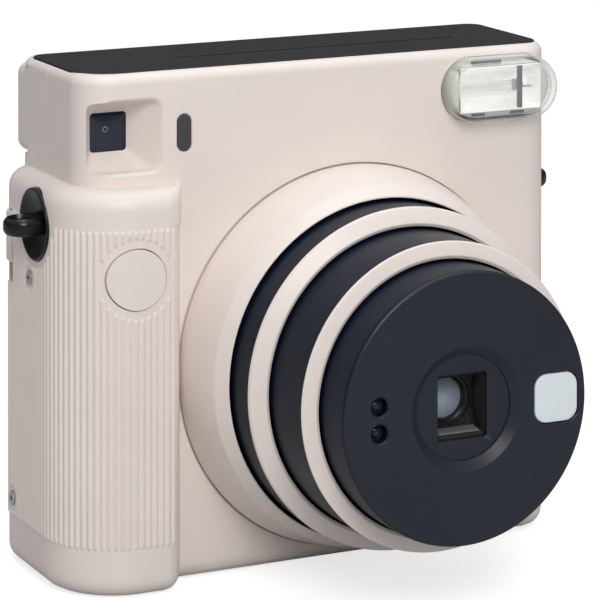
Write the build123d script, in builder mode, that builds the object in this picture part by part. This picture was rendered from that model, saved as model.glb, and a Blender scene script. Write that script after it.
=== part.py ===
from build123d import *

import math
import os

os.makedirs("parts", exist_ok=True)

# Instant film camera with a telescoping lens. Millimetres.
# X runs to the right seen from the front, Y from the lens towards the film door, Z up.
# The origin is the middle of the base of the body block.

# Body block
BODY_LEFT = -59.0
BODY_RIGHT = 65.35
FRONT_Y = -20.0
BACK_Y = 20.2
HEIGHT = 118.6
SEAM_Y = 1.9
WALL = 2.0
BACK_WALL = 4.0
INNER_BACK_Y = BACK_Y - BACK_WALL
CEILING_Z = 115.2

# Hand grip, which stands proud of the front and the left side
GRIP_LEFT = -65.35
GRIP_FRONT_Y = -28.05
GRIP_TOP_Z = 93.0
GRIP_CORNER = 18.0

# Lens axis, running along Y
LENS_X = 9.96
LENS_Z = 48.32
LENS_AXIS = Axis((LENS_X, 0, LENS_Z), (0, 1, 0))

# Control ring and the fixed guide tube inside it
RING_R = 45.1
RING_FRONT_Y = -37.26
RING_LIP_R = 39.86
RING_LIP = 2.2
GUIDE_R = 41.5
GUIDE_BORE_R = 39.75
GUIDE_REAR_Y = -1.4
RUNNING_GAP = 0.08

# Telescoping barrels, drawn with the lens extended
OUTER_BARREL_R = 39.2
OUTER_BARREL_BORE_R = 35.4
OUTER_BARREL_REAR_Y = -17.0
OUTER_BEZEL_R = 39.58
OUTER_BEZEL_REAR_Y = -45.72
OUTER_BEZEL_FRONT_Y = -48.67
INNER_BARREL_R = 34.8
INNER_BARREL_BORE_R = 31.15
INNER_BARREL_REAR_Y = -35.5
INNER_BEZEL_R = 35.16
INNER_BEZEL_REAR_Y = -64.11
INNER_BEZEL_FRONT_Y = -65.6
FRONT_BARREL_R = 30.71
FRONT_BARREL_BORE_R = 28.7
FRONT_BARREL_REAR_Y = -46.5
FACE_Y = -76.7
FACE_THICK = 2.5

# Lens recess in the face
RECESS_R = 14.04
RECESS_FLOOR_R = 11.69
RECESS_DEPTH = 1.1
FUNNEL_W = 15.0
FUNNEL_H = 16.8
APERTURE_W = 12.2
APERTURE_H = 12.8
MIRROR_X = 32.9
MIRROR_SIZE = 11.0
MIRROR_CORNER = 3.0
SENSOR_X = -11.84
SENSOR_Z = (45.1, 51.05)
SENSOR_R = 2.25

# Lens cell and shutter, behind the face
CELL_FRONT_Y = -70.0
CELL_REAR_Y = -63.2
CELL_R = 8.5
LENS_R = 4.6
LENS_SAG = 1.1
LENS_DOME_R = (LENS_R**2 + LENS_SAG**2) / (2 * LENS_SAG)
LENS_REAR_Y = CELL_REAR_Y - 0.65
LENS_EDGE_Y = LENS_REAR_Y - 1.25
HOLDER_FRONT_Y = -62.0
HOLDER_THICK = 2.0
BLADE_THICK = 0.3
BLADE_PIVOT_X = 11.0
BARRIER_THICK = 0.6
BARRIER_Y = FACE_Y + FACE_THICK + 0.2

# Viewfinder
FINDER_X = -48.35
FINDER_Z = 104.1
FINDER_W = 18.1
FINDER_H = 17.05
FINDER_GLASS_X = -49.45
FINDER_GLASS_Z = 104.35
FINDER_GLASS = 9.1
FINDER_GLASS_Y = -12.0
FINDER_BOSS_Y = -10.8

# Light sensor window and flash
SENSOR_WINDOW = (-33.55, 104.2)
FLASH_X = 48.4
FLASH_Z = 109.2
FLASH_W = 31.0
FLASH_H = 16.0
FLASH_FRONT_Y = -26.6
FLASH_REAR_Y = -16.2
FLASH_WALL = 1.35
REFLECTOR_W = 22.0
REFLECTOR_H = 11.0

# Top plate and film exit slot
PLATE_LEFT = -57.6
PLATE_RIGHT = 63.9
PLATE_FRONT_Y = -17.4
PLATE_BACK_Y = 17.2
PLATE_THICK = 1.2
SLOT_LEFT = -28.7
SLOT_RIGHT = 47.1
SLOT_FRONT_Y = -2.0
SLOT_BACK_Y = 1.0

# Shutter button on the grip
BUTTON_X = -48.6
BUTTON_Z = 72.9
BUTTON_R = 7.0

# Strap lugs
LUG_Y = -4.0
LUG_Z = 82.7
LUG_HALF_Y = 8.6
LUG_HALF_Z = 8.5
LUG_RING_X = 68.0
LUG_RING_R = 4.1
LUG_HOLE_R = 2.7
LUG_THICK = 4.4

# Film chamber, film pack and film door
CHAMBER_LEFT = -33.0
CHAMBER_RIGHT = 53.0
CHAMBER_BOTTOM = 2.6
CHAMBER_TOP = 101.0
CHAMBER_FRONT_Y = -1.2
CHAMBER_BACK_Y = 15.9
CHAMBER_WALL = 1.8
PACK_W = 80.0
PACK_BOTTOM = 5.5
PACK_TOP = 98.5
PACK_FRONT_Y = 0.4
PACK_BACK_Y = 14.2
IMAGE_SIZE = 62.0
DOOR_LEFT = -56.0
DOOR_BOTTOM = 9.95
DOOR_TOP = 93.75
DOOR_GAP = 0.25
DOOR_HINGE_X = 60.0
DOOR_HINGE_Y = BACK_Y - BACK_WALL / 2
HINGE_PIN_R = 0.9

# Film counter
COUNTER_X = 50.0
COUNTER_Z = 107.6
COUNTER_WINDOW = (COUNTER_X, COUNTER_Z + 3.2)

# Film ejection rollers and their gear train
NIP_Y = -0.5
ROLLER_Z = 105.5
ROLLER_R = 3.95
MODULE = 0.5
ROLLER_TEETH = 16
IDLER_TEETH = 32
PINION_TEETH = 14
GEAR_X = -37.0
GEAR_WIDTH = 2.6
FRONT_ROLLER_Y = NIP_Y - MODULE * ROLLER_TEETH / 2
REAR_ROLLER_Y = NIP_Y + MODULE * ROLLER_TEETH / 2
IDLER_Z = ROLLER_Z - MODULE * (ROLLER_TEETH + IDLER_TEETH) / 2
PINION_Z = IDLER_Z - MODULE * (IDLER_TEETH + PINION_TEETH) / 2
ROLLER_SHAFT_R = 1.5
BEARING_R = 2.6

# Batteries and their door, under the grip
BATTERY_X = -47.6
BATTERY_Y = -11.8
BATTERY_R = 7.8
BATTERY_LENGTH = 27.0
BATTERY_DOOR_SIZE = 17.6
BATTERY_DOOR_THICK = 2.4


def at_depth(y):
    """Plane at depth y with X to the right and Z up; positive extrusion runs forwards."""
    return Plane.XZ.offset(-y)


def ring_sketch(outer, inner):
    """Ring round the lens axis, for a sketch that faces the front."""
    with Locations((LENS_X, LENS_Z)):
        Circle(outer)
        Circle(inner, mode=Mode.SUBTRACT)


def gear_teeth(teeth, first_angle):
    """Spur gear outline with slightly thin teeth, so that meshed gears keep some backlash."""
    pitch_r = MODULE * teeth / 2
    root_r = pitch_r - 1.15 * MODULE
    tip_r = pitch_r + 0.75 * MODULE
    half_pitch = math.pi * MODULE / 2
    Circle(root_r)
    with PolarLocations(0, teeth, first_angle):
        Polygon(
            (root_r - 0.1, -0.50 * half_pitch),
            (tip_r, -0.17 * half_pitch),
            (tip_r, 0.17 * half_pitch),
            (root_r - 0.1, 0.50 * half_pitch),
            align=None,
        )


def save(piece, label):
    """Labels a finished piece and writes it to its own file."""
    piece.part.label = label
    export_step(piece.part, f"parts/{label}.step")


# ---------------------------------------------------------------- outer form of the covers

with BuildPart() as body_form:
    with BuildSketch(Plane.XY):
        with Locations(((BODY_LEFT + BODY_RIGHT) / 2, (FRONT_Y + BACK_Y) / 2)):
            Rectangle(BODY_RIGHT - BODY_LEFT, BACK_Y - FRONT_Y)
    extrude(amount=HEIGHT)
    upright = body_form.edges().filter_by(Axis.Z)
    fillet(upright.group_by(Axis.Y)[0].sort_by(Axis.X)[0], 8.5)
    fillet(body_form.edges().filter_by(Axis.Z).group_by(Axis.Y)[0].sort_by(Axis.X)[-1], 8.0)
    fillet(body_form.edges().filter_by(Axis.Z).group_by(Axis.Y)[-1], 5.0)
    fillet(body_form.faces().sort_by(Axis.Z)[-1].edges(), 2.5)
    fillet(body_form.faces().sort_by(Axis.Z)[0].edges(), 4.0)

with BuildPart() as grip_form:
    with BuildSketch(Plane.XY):
        with BuildLine():
            Polyline(
                (-32.2, FRONT_Y + 2),
                (-40.8, GRIP_FRONT_Y),
                (GRIP_LEFT, GRIP_FRONT_Y),
                (-64.6, BACK_Y),
                (-32.2, BACK_Y),
                close=True,
            )
        make_face()
    extrude(amount=GRIP_TOP_Z)
    fillet(grip_form.edges().filter_by(Axis.Z).group_by(Axis.Y)[0].sort_by(Axis.X)[0], GRIP_CORNER)
    fillet(grip_form.edges().filter_by(Axis.Z).group_by(Axis.Y)[0].sort_by(Axis.X)[-1], 4.0)
    fillet(grip_form.edges().filter_by(Axis.Z).group_by(Axis.Y)[-1].sort_by(Axis.X)[0], 8.7)
    fillet(grip_form.faces().sort_by(Axis.Z)[-1].edges().group_by(Axis.X)[0:-1], 3.2)
    fillet(grip_form.faces().sort_by(Axis.Z)[0].edges().group_by(Axis.X)[0:-1], 4.0)

with BuildPart() as cavity_form:
    with BuildSketch(Plane.XY.offset(WALL)):
        with BuildLine():
            Polyline(
                (BODY_LEFT + WALL, FRONT_Y + WALL),
                (BODY_RIGHT - WALL, FRONT_Y + WALL),
                (BODY_RIGHT - WALL, INNER_BACK_Y),
                (BODY_LEFT + WALL, INNER_BACK_Y),
                close=True,
            )
        make_face()
    extrude(amount=CEILING_Z - WALL)
    fillet(cavity_form.edges().filter_by(Axis.Z).group_by(Axis.Y)[0], 7.0)
    with BuildSketch(Plane.XY.offset(WALL)):
        with BuildLine():
            Polyline(
                (-36.5, FRONT_Y + WALL - 0.5),
                (-43.2, GRIP_FRONT_Y + WALL),
                (-50.0, GRIP_FRONT_Y + WALL),
                (-58.5, GRIP_FRONT_Y + 6.7),
                (-62.0, -19.0),
                (-63.2, -10.0),
                (-62.6, INNER_BACK_Y - 3),
                (-59.5, INNER_BACK_Y),
                (-36.5, INNER_BACK_Y),
                close=True,
            )
        make_face()
    extrude(amount=GRIP_TOP_Z - 2.2 * WALL)
    with BuildSketch(at_depth(FRONT_Y)):
        with Locations((FINDER_X, FINDER_Z)):
            Rectangle(FINDER_W + 4.4, 2 * (CEILING_Z - FINDER_Z))
    extrude(amount=-(FINDER_BOSS_Y - FRONT_Y), mode=Mode.SUBTRACT)

with BuildPart() as lug_pocket:
    with BuildSketch(Plane.YZ.offset(BODY_RIGHT - 5.2)):
        with Locations((LUG_Y, LUG_Z)):
            Ellipse(LUG_HALF_Y + 0.1, LUG_HALF_Z + 0.1)
    extrude(amount=12)
    mirror(about=Plane.YZ)

with BuildPart() as top_recess:
    with BuildSketch(Plane.XY.offset(HEIGHT - PLATE_THICK + 0.1)):
        with Locations(((PLATE_LEFT + PLATE_RIGHT) / 2, (PLATE_FRONT_Y + PLATE_BACK_Y) / 2)):
            RectangleRounded(
                PLATE_RIGHT - PLATE_LEFT + 0.2, PLATE_BACK_Y - PLATE_FRONT_Y + 0.2, 6.0
            )
    extrude(amount=5)

# Screw axes: two on each flank and two under the base
SIDE_SCREWS = [(-0.6, 69.7), (10.6, 15.2)]
BASE_SCREWS = [(-20.0, -10.0), (55.0, -10.0)]
SCREW_HEAD_R = 1.65
SCREW_SHANK_R = 0.8

with BuildPart() as cover_screws:
    with BuildSketch(Plane.YZ.offset(BODY_RIGHT - 1.3)):
        with Locations(*SIDE_SCREWS):
            Circle(SCREW_HEAD_R)
    extrude(amount=0.7)
    with BuildSketch(Plane.YZ.offset(BODY_RIGHT - 5.9)):
        with Locations(*SIDE_SCREWS):
            Circle(SCREW_SHANK_R)
    extrude(amount=4.6)
    with BuildSketch(Plane.YZ.offset(BODY_RIGHT - 0.6)):
        with Locations(*SIDE_SCREWS):
            Rectangle(0.4, 1.8)
            Rectangle(1.8, 0.4)
    extrude(amount=-0.5, mode=Mode.SUBTRACT)
    mirror(about=Plane.YZ)
    with BuildSketch(Plane.XY.offset(0.3)):
        with Locations(*BASE_SCREWS):
            Circle(SCREW_HEAD_R)
    extrude(amount=0.7)
    with BuildSketch(Plane.XY.offset(1.0)):
        with Locations(*BASE_SCREWS):
            Circle(SCREW_SHANK_R)
    extrude(amount=5)
    with BuildSketch(Plane.XY.offset(0.3)):
        with Locations(*BASE_SCREWS):
            Rectangle(0.4, 1.8)
            Rectangle(1.8, 0.4)
    extrude(amount=0.4, mode=Mode.SUBTRACT)
save(cover_screws, "cover_screws")

# ---------------------------------------------------------------- covers

with BuildPart() as screw_holes:
    with BuildSketch(Plane.YZ.offset(BODY_RIGHT - 1.32)):
        with Locations(*SIDE_SCREWS):
            Circle(SCREW_HEAD_R + 0.1)
    extrude(amount=3)
    with BuildSketch(Plane.YZ.offset(BODY_RIGHT - 6.4)):
        with Locations(*SIDE_SCREWS):
            Circle(SCREW_SHANK_R + 0.06)
    extrude(amount=8)
    mirror(about=Plane.YZ)
    with BuildSketch(Plane.XY.offset(1.02)):
        with Locations(*BASE_SCREWS):
            Circle(SCREW_HEAD_R + 0.1)
    extrude(amount=-3)
    with BuildSketch(Plane.XY.offset(-1)):
        with Locations(*BASE_SCREWS):
            Circle(SCREW_SHANK_R + 0.06)
    extrude(amount=8)

with BuildPart() as front_cover:
    add(body_form.part)
    add(grip_form.part)
    add(cavity_form.part, mode=Mode.SUBTRACT)
    split(bisect_by=Plane.XZ.offset(-SEAM_Y), keep=Keep.TOP)
    # Clearance round the control ring, and the opening for the guide tube
    with BuildSketch(at_depth(FRONT_Y)):
        with Locations((LENS_X, LENS_Z)):
            Circle(RING_R + 0.35)
    extrude(amount=20, mode=Mode.SUBTRACT)
    with BuildSketch(at_depth(FRONT_Y - 1)):
        with Locations((LENS_X, LENS_Z)):
            Circle(GUIDE_R + 0.4)
    extrude(amount=-6, mode=Mode.SUBTRACT)
    # Viewfinder funnel
    with BuildSketch(at_depth(FRONT_Y - 0.01)):
        with Locations((FINDER_X, FINDER_Z)):
            RectangleRounded(FINDER_W, FINDER_H, 2.5)
    with BuildSketch(at_depth(FINDER_GLASS_Y)):
        with Locations((FINDER_GLASS_X, FINDER_GLASS_Z)):
            RectangleRounded(FINDER_GLASS, FINDER_GLASS, 0.8)
    loft(mode=Mode.SUBTRACT)
    with BuildSketch(at_depth(FINDER_GLASS_Y)):
        with Locations((FINDER_GLASS_X, FINDER_GLASS_Z)):
            Rectangle(FINDER_GLASS + 1.6, FINDER_GLASS + 1.6)
    extrude(amount=-4, mode=Mode.SUBTRACT)
    # Light sensor window
    with BuildSketch(at_depth(FRONT_Y - 1)):
        with Locations(SENSOR_WINDOW):
            SlotOverall(8.6, 3.5, rotation=90)
    extrude(amount=-4, mode=Mode.SUBTRACT)
    # Flash opening
    with BuildSketch(at_depth(FLASH_REAR_Y)):
        with Locations((FLASH_X, FLASH_Z)):
            SlotOverall(FLASH_W + 0.2, FLASH_H + 0.2)
    extrude(amount=12, mode=Mode.SUBTRACT)
    # Shutter button
    with BuildSketch(at_depth(GRIP_FRONT_Y - 1)):
        with Locations((BUTTON_X, BUTTON_Z)):
            Circle(BUTTON_R + 0.1)
    extrude(amount=-8, mode=Mode.SUBTRACT)
    with BuildSketch(at_depth(GRIP_FRONT_Y + 3.4)):
        with Locations((BUTTON_X, BUTTON_Z)):
            Circle(BUTTON_R + 0.9)
    extrude(amount=-8, mode=Mode.SUBTRACT)
    # Battery door
    with BuildSketch(Plane.XY.offset(-1)):
        with Locations((BATTERY_X, BATTERY_Y)):
            Rectangle(BATTERY_DOOR_SIZE + 0.4, BATTERY_DOOR_SIZE + 0.4)
    extrude(amount=6, mode=Mode.SUBTRACT)
    # Film exit slot
    with BuildSketch(Plane.XY.offset(HEIGHT - 6)):
        with Locations(((SLOT_LEFT + SLOT_RIGHT) / 2, (SLOT_FRONT_Y + SLOT_BACK_Y) / 2)):
            Rectangle(SLOT_RIGHT - SLOT_LEFT, SLOT_BACK_Y - SLOT_FRONT_Y)
    extrude(amount=10, mode=Mode.SUBTRACT)
    add(top_recess.part, mode=Mode.SUBTRACT)
    add(lug_pocket.part, mode=Mode.SUBTRACT)
    add(screw_holes.part, mode=Mode.SUBTRACT)
save(front_cover, "front_cover")

with BuildPart() as rear_cover:
    add(body_form.part)
    add(grip_form.part)
    add(cavity_form.part, mode=Mode.SUBTRACT)
    split(bisect_by=Plane.XZ.offset(-SEAM_Y), keep=Keep.BOTTOM)
    # Film door opening, rounded at the hinge side by the door's own knuckle
    with BuildSketch(at_depth(INNER_BACK_Y - 1)):
        with Locations(
            (
                (DOOR_LEFT + DOOR_HINGE_X + BACK_WALL / 2) / 2,
                (DOOR_BOTTOM + DOOR_TOP) / 2,
            )
        ):
            Rectangle(
                DOOR_HINGE_X + BACK_WALL / 2 - DOOR_LEFT + 2 * DOOR_GAP,
                DOOR_TOP - DOOR_BOTTOM + 2 * DOOR_GAP,
            )
    extrude(amount=-8, mode=Mode.SUBTRACT)
    # Eyepiece seat at the upper corner
    with BuildSketch(at_depth(14.3)):
        with Locations((BODY_LEFT + 10.5, 106.05)):
            Rectangle(22.0, 21.5)
    extrude(amount=-10, mode=Mode.SUBTRACT)
    # Film counter window
    with BuildSketch(at_depth(INNER_BACK_Y - 1)):
        with Locations(COUNTER_WINDOW):
            RectangleRounded(6.4, 4.8, 1.0)
    extrude(amount=-8, mode=Mode.SUBTRACT)
    # Hinge pin hole
    with BuildSketch(Plane.XY.offset(6)):
        with Locations((DOOR_HINGE_X, DOOR_HINGE_Y)):
            Circle(HINGE_PIN_R + 0.04)
    extrude(amount=92, mode=Mode.SUBTRACT)
    # Latch track
    with BuildSketch(at_depth(9.9)):
        with Locations((-63.3, 75.0)):
            Rectangle(4.2, 17.4)
    extrude(amount=-4.2, mode=Mode.SUBTRACT)
    add(top_recess.part, mode=Mode.SUBTRACT)
    add(lug_pocket.part, mode=Mode.SUBTRACT)
    add(screw_holes.part, mode=Mode.SUBTRACT)
save(rear_cover, "rear_cover")

with BuildPart() as top_plate:
    with BuildSketch(Plane.XY.offset(HEIGHT - PLATE_THICK + 0.15)):
        with Locations(((PLATE_LEFT + PLATE_RIGHT) / 2, (PLATE_FRONT_Y + PLATE_BACK_Y) / 2)):
            RectangleRounded(PLATE_RIGHT - PLATE_LEFT, PLATE_BACK_Y - PLATE_FRONT_Y, 5.9)
        with Locations(((SLOT_LEFT + SLOT_RIGHT) / 2, (SLOT_FRONT_Y + SLOT_BACK_Y) / 2)):
            RectangleRounded(
                SLOT_RIGHT - SLOT_LEFT, SLOT_BACK_Y - SLOT_FRONT_Y, 0.6, mode=Mode.SUBTRACT
            )
    extrude(amount=PLATE_THICK)
save(top_plate, "top_plate")

# ---------------------------------------------------------------- viewfinder, sensor, flash

with BuildPart() as viewfinder_front_lens:
    with BuildSketch(at_depth(FINDER_GLASS_Y + 0.1)):
        with Locations((FINDER_GLASS_X, FINDER_GLASS_Z)):
            RectangleRounded(FINDER_GLASS + 1.2, FINDER_GLASS + 1.2, 0.6)
    extrude(amount=-1.0)
save(viewfinder_front_lens, "viewfinder_front_lens")

with BuildPart() as viewfinder_tube:
    with BuildSketch(at_depth(-10.4)):
        with Locations((FINDER_GLASS_X, FINDER_GLASS_Z)):
            RectangleRounded(13.0, 13.0, 1.5)
            RectangleRounded(10.0, 10.0, 0.8, mode=Mode.SUBTRACT)
    extrude(amount=-24.0)
save(viewfinder_tube, "viewfinder_tube")

with BuildPart() as eyepiece_surround:
    with BuildSketch(at_depth(14.45)):
        with Locations((BODY_LEFT + 10.5, 106.05)):
            Rectangle(20.7, 21.2)
    extrude(amount=-8.6)
    fillet(eyepiece_surround.edges().filter_by(Axis.Y), 2.4)
    fillet(eyepiece_surround.faces().sort_by(Axis.Y)[-1].edges(), 2.3)
    with BuildSketch(at_depth(23.4)):
        with Locations((FINDER_GLASS_X, FINDER_GLASS_Z)):
            RectangleRounded(14.0, 13.0, 2.0)
    with BuildSketch(at_depth(18.2)):
        with Locations((FINDER_GLASS_X, FINDER_GLASS_Z)):
            RectangleRounded(10.0, 10.0, 1.0)
    loft(mode=Mode.SUBTRACT)
    with BuildSketch(at_depth(14)):
        with Locations((FINDER_GLASS_X, FINDER_GLASS_Z)):
            Rectangle(11.6, 11.6)
    extrude(amount=-4.25, mode=Mode.SUBTRACT)
save(eyepiece_surround, "eyepiece_surround")

with BuildPart() as eyepiece_lens:
    with BuildSketch(at_depth(16.4)):
        with Locations((FINDER_GLASS_X, FINDER_GLASS_Z)):
            RectangleRounded(11.4, 11.4, 0.8)
    extrude(amount=-1.6)
save(eyepiece_lens, "eyepiece_lens")

with BuildPart() as light_sensor_window:
    with BuildSketch(at_depth(FRONT_Y - 0.2)):
        with Locations(SENSOR_WINDOW):
            SlotOverall(8.5, 3.4, rotation=90)
    extrude(amount=-2.0)
    fillet(light_sensor_window.faces().sort_by(Axis.Y)[0].edges(), 0.4)
save(light_sensor_window, "light_sensor_window")

with BuildPart() as flash_window:
    with BuildSketch(at_depth(FLASH_REAR_Y - 0.1)):
        with Locations((FLASH_X, FLASH_Z)):
            SlotOverall(FLASH_W, FLASH_H)
    extrude(amount=FLASH_REAR_Y - 0.1 - FLASH_FRONT_Y)
    fillet(flash_window.faces().sort_by(Axis.Y)[0].edges(), 2.8)
    with BuildSketch(at_depth(FLASH_REAR_Y)):
        with Locations((FLASH_X, FLASH_Z)):
            SlotOverall(FLASH_W - 2 * FLASH_WALL, FLASH_H - 2 * FLASH_WALL)
    extrude(amount=FLASH_REAR_Y - FLASH_FRONT_Y - 1.6, mode=Mode.SUBTRACT)
save(flash_window, "flash_window")

with BuildPart() as flash_reflector:
    with BuildSketch(at_depth(-24.4)):
        with Locations((FLASH_X, FLASH_Z)):
            Rectangle(REFLECTOR_W, REFLECTOR_H)
    with BuildSketch(at_depth(-17.2)):
        with Locations((FLASH_X, FLASH_Z)):
            Rectangle(REFLECTOR_W - 5, 6.0)
    loft()
    with BuildSketch(at_depth(-24.5)):
        with Locations((FLASH_X, FLASH_Z)):
            Rectangle(REFLECTOR_W - 1.0, REFLECTOR_H - 1.0)
    with BuildSketch(at_depth(-18.0)):
        with Locations((FLASH_X, FLASH_Z)):
            Rectangle(REFLECTOR_W - 6.2, 4.6)
    loft(mode=Mode.SUBTRACT)
    with BuildSketch(Plane.YZ.offset(FLASH_X - REFLECTOR_W / 2)):
        with Locations((-20.4, FLASH_Z)):
            Circle(1.35)
    extrude(amount=REFLECTOR_W, mode=Mode.SUBTRACT)
save(flash_reflector, "flash_reflector")

with BuildPart() as xenon_tube:
    with BuildSketch(Plane.YZ.offset(FLASH_X - 11.6)):
        with Locations((-20.4, FLASH_Z)):
            Circle(1.2)
    extrude(amount=23.2)
    fillet(xenon_tube.edges(), 0.5)
save(xenon_tube, "xenon_tube")

# ---------------------------------------------------------------- strap lugs

with BuildPart() as strap_lugs:
    with BuildSketch(Plane.YZ.offset(BODY_RIGHT - 5.1)):
        with Locations((LUG_Y, LUG_Z)):
            Ellipse(LUG_HALF_Y, LUG_HALF_Z)
    extrude(amount=4.9)
    with BuildSketch(Plane.YZ.offset(BODY_RIGHT + 0.1)):
        with Locations((LUG_Y, LUG_Z)):
            Ellipse(LUG_HALF_Y - 0.6, LUG_HALF_Z - 0.6)
    with BuildSketch(Plane.YZ.offset(BODY_RIGHT - 3.9)):
        with Locations((LUG_Y, LUG_Z)):
            Ellipse(LUG_HALF_Y - 3.0, LUG_HALF_Z - 3.0)
    loft(mode=Mode.SUBTRACT)
    with BuildSketch(Plane.XY.offset(LUG_Z - LUG_THICK / 2)):
        with Locations((LUG_RING_X - 4.4, LUG_Y)):
            Rectangle(6.4, 6.0)
        with Locations((LUG_RING_X, LUG_Y)):
            Circle(LUG_RING_R)
            Circle(LUG_HOLE_R, mode=Mode.SUBTRACT)
    extrude(amount=LUG_THICK)
    mirror(about=Plane.YZ)
save(strap_lugs, "strap_lugs")

# ---------------------------------------------------------------- lens: ring and barrels

with BuildPart() as lens_base:
    with BuildSketch(at_depth(GUIDE_REAR_Y)):
        ring_sketch(GUIDE_R, GUIDE_BORE_R)
    extrude(amount=GUIDE_REAR_Y - RING_FRONT_Y - RING_LIP - 0.25)
    with BuildSketch(at_depth(GUIDE_REAR_Y)):
        ring_sketch(GUIDE_R + 2.6, GUIDE_BORE_R)
        with Locations((LENS_X, LENS_Z)):
            with PolarLocations(GUIDE_R + 1.2, 4, 45):
                Circle(3.0)
        with Locations((LENS_X, LENS_Z)):
            Circle(GUIDE_BORE_R, mode=Mode.SUBTRACT)
    extrude(amount=1.6)
save(lens_base, "lens_base")

with BuildPart() as control_ring:
    with BuildSketch(Plane.XY.offset(LENS_Z)):
        with BuildLine():
            Polyline(
                (LENS_X + GUIDE_R + RUNNING_GAP, FRONT_Y - 0.3),
                (LENS_X + RING_R, FRONT_Y - 0.3),
                (LENS_X + RING_R - 0.35, FRONT_Y - 3.0),
                (LENS_X + RING_R - 2.3, RING_FRONT_Y + 3.4),
                (LENS_X + RING_R - 3.1, RING_FRONT_Y + 1.2),
                (LENS_X + RING_R - 4.0, RING_FRONT_Y + 0.3),
                (LENS_X + RING_LIP_R + 0.6, RING_FRONT_Y),
                (LENS_X + RING_LIP_R, RING_FRONT_Y + 0.5),
                (LENS_X + RING_LIP_R, RING_FRONT_Y + RING_LIP),
                (LENS_X + GUIDE_R + RUNNING_GAP, RING_FRONT_Y + RING_LIP),
                close=True,
            )
        make_face()
    revolve(axis=LENS_AXIS)
save(control_ring, "control_ring")

with BuildPart() as outer_barrel:
    with BuildSketch(at_depth(OUTER_BARREL_REAR_Y)):
        ring_sketch(OUTER_BARREL_R, OUTER_BARREL_BORE_R)
    extrude(amount=OUTER_BARREL_REAR_Y - OUTER_BEZEL_REAR_Y - 0.02)
save(outer_barrel, "outer_barrel")

with BuildPart() as inner_barrel:
    with BuildSketch(at_depth(INNER_BARREL_REAR_Y)):
        ring_sketch(INNER_BARREL_R, INNER_BARREL_BORE_R)
    extrude(amount=INNER_BARREL_REAR_Y - INNER_BEZEL_REAR_Y - 0.02)
save(inner_barrel, "inner_barrel")

for label, rear_y, front_y, rear_r, front_r, bore_r in (
    ("outer_bezel", OUTER_BEZEL_REAR_Y, OUTER_BEZEL_FRONT_Y, OUTER_BEZEL_R, 35.7, 35.35),
    ("inner_bezel", INNER_BEZEL_REAR_Y, INNER_BEZEL_FRONT_Y, INNER_BEZEL_R, 31.6, 31.19),
):
    with BuildPart() as bezel:
        with BuildSketch(Plane.XY.offset(LENS_Z)):
            with BuildLine():
                Polyline(
                    (LENS_X + bore_r, rear_y),
                    (LENS_X + rear_r, rear_y),
                    (LENS_X + rear_r, rear_y - 0.3),
                    (LENS_X + (2 * rear_r + front_r) / 3, (rear_y + 2 * front_y) / 3),
                    (LENS_X + front_r, front_y),
                    (LENS_X + bore_r, front_y + 0.3),
                    close=True,
                )
            make_face()
        revolve(axis=LENS_AXIS)
    save(bezel, label)

with BuildPart() as front_barrel:
    with BuildSketch(at_depth(FRONT_BARREL_REAR_Y)):
        with Locations((LENS_X, LENS_Z)):
            Circle(FRONT_BARREL_R)
    extrude(amount=FRONT_BARREL_REAR_Y - FACE_Y)
    fillet(front_barrel.faces().sort_by(Axis.Y)[0].edges(), 1.0)
    with BuildSketch(at_depth(FRONT_BARREL_REAR_Y)):
        with Locations((LENS_X, LENS_Z)):
            Circle(FRONT_BARREL_BORE_R)
    extrude(amount=FRONT_BARREL_REAR_Y - FACE_Y - FACE_THICK, mode=Mode.SUBTRACT)
    # Round recess with a bevelled edge
    with BuildSketch(at_depth(FACE_Y)):
        with Locations((LENS_X, LENS_Z)):
            Circle(RECESS_R)
    with BuildSketch(at_depth(FACE_Y + RECESS_DEPTH)):
        with Locations((LENS_X, LENS_Z)):
            Circle(RECESS_FLOOR_R)
    loft(mode=Mode.SUBTRACT)
    # Square funnel to the lens
    with BuildSketch(at_depth(FACE_Y + RECESS_DEPTH)):
        with Locations((LENS_X, LENS_Z)):
            RectangleRounded(FUNNEL_W, FUNNEL_H, 1.2)
    with BuildSketch(at_depth(FACE_Y + FACE_THICK)):
        with Locations((LENS_X, LENS_Z)):
            RectangleRounded(APERTURE_W, APERTURE_H, 0.8)
    loft(mode=Mode.SUBTRACT)
    # Pocket for the selfie mirror
    with BuildSketch(at_depth(FACE_Y)):
        with Locations((MIRROR_X, LENS_Z)):
            RectangleRounded(MIRROR_SIZE + 0.2, MIRROR_SIZE + 0.2, MIRROR_CORNER)
    extrude(amount=-1.2, mode=Mode.SUBTRACT)
    # Exposure sensor holes
    with BuildSketch(at_depth(FACE_Y)):
        with Locations(*[(SENSOR_X, z) for z in SENSOR_Z]):
            Circle(SENSOR_R)
    extrude(amount=-FACE_THICK, mode=Mode.SUBTRACT)
save(front_barrel, "front_barrel")

with BuildPart() as selfie_mirror:
    with BuildSketch(at_depth(FACE_Y + 1.18)):
        with Locations((MIRROR_X, LENS_Z)):
            RectangleRounded(MIRROR_SIZE, MIRROR_SIZE, MIRROR_CORNER - 0.1)
    extrude(amount=1.1)
    fillet(selfie_mirror.faces().sort_by(Axis.Y)[0].edges(), 0.3)
save(selfie_mirror, "selfie_mirror")

with BuildPart() as sensor_lenses:
    with BuildSketch(at_depth(FACE_Y + 4.0)):
        with Locations(*[(SENSOR_X, z) for z in SENSOR_Z]):
            Circle(SENSOR_R - 0.1)
    extrude(amount=2.6)
    fillet(sensor_lenses.faces().group_by(Axis.Y)[0].edges(), 0.9)
save(sensor_lenses, "sensor_lenses")

# ---------------------------------------------------------------- lens cell, shutter, barrier

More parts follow.
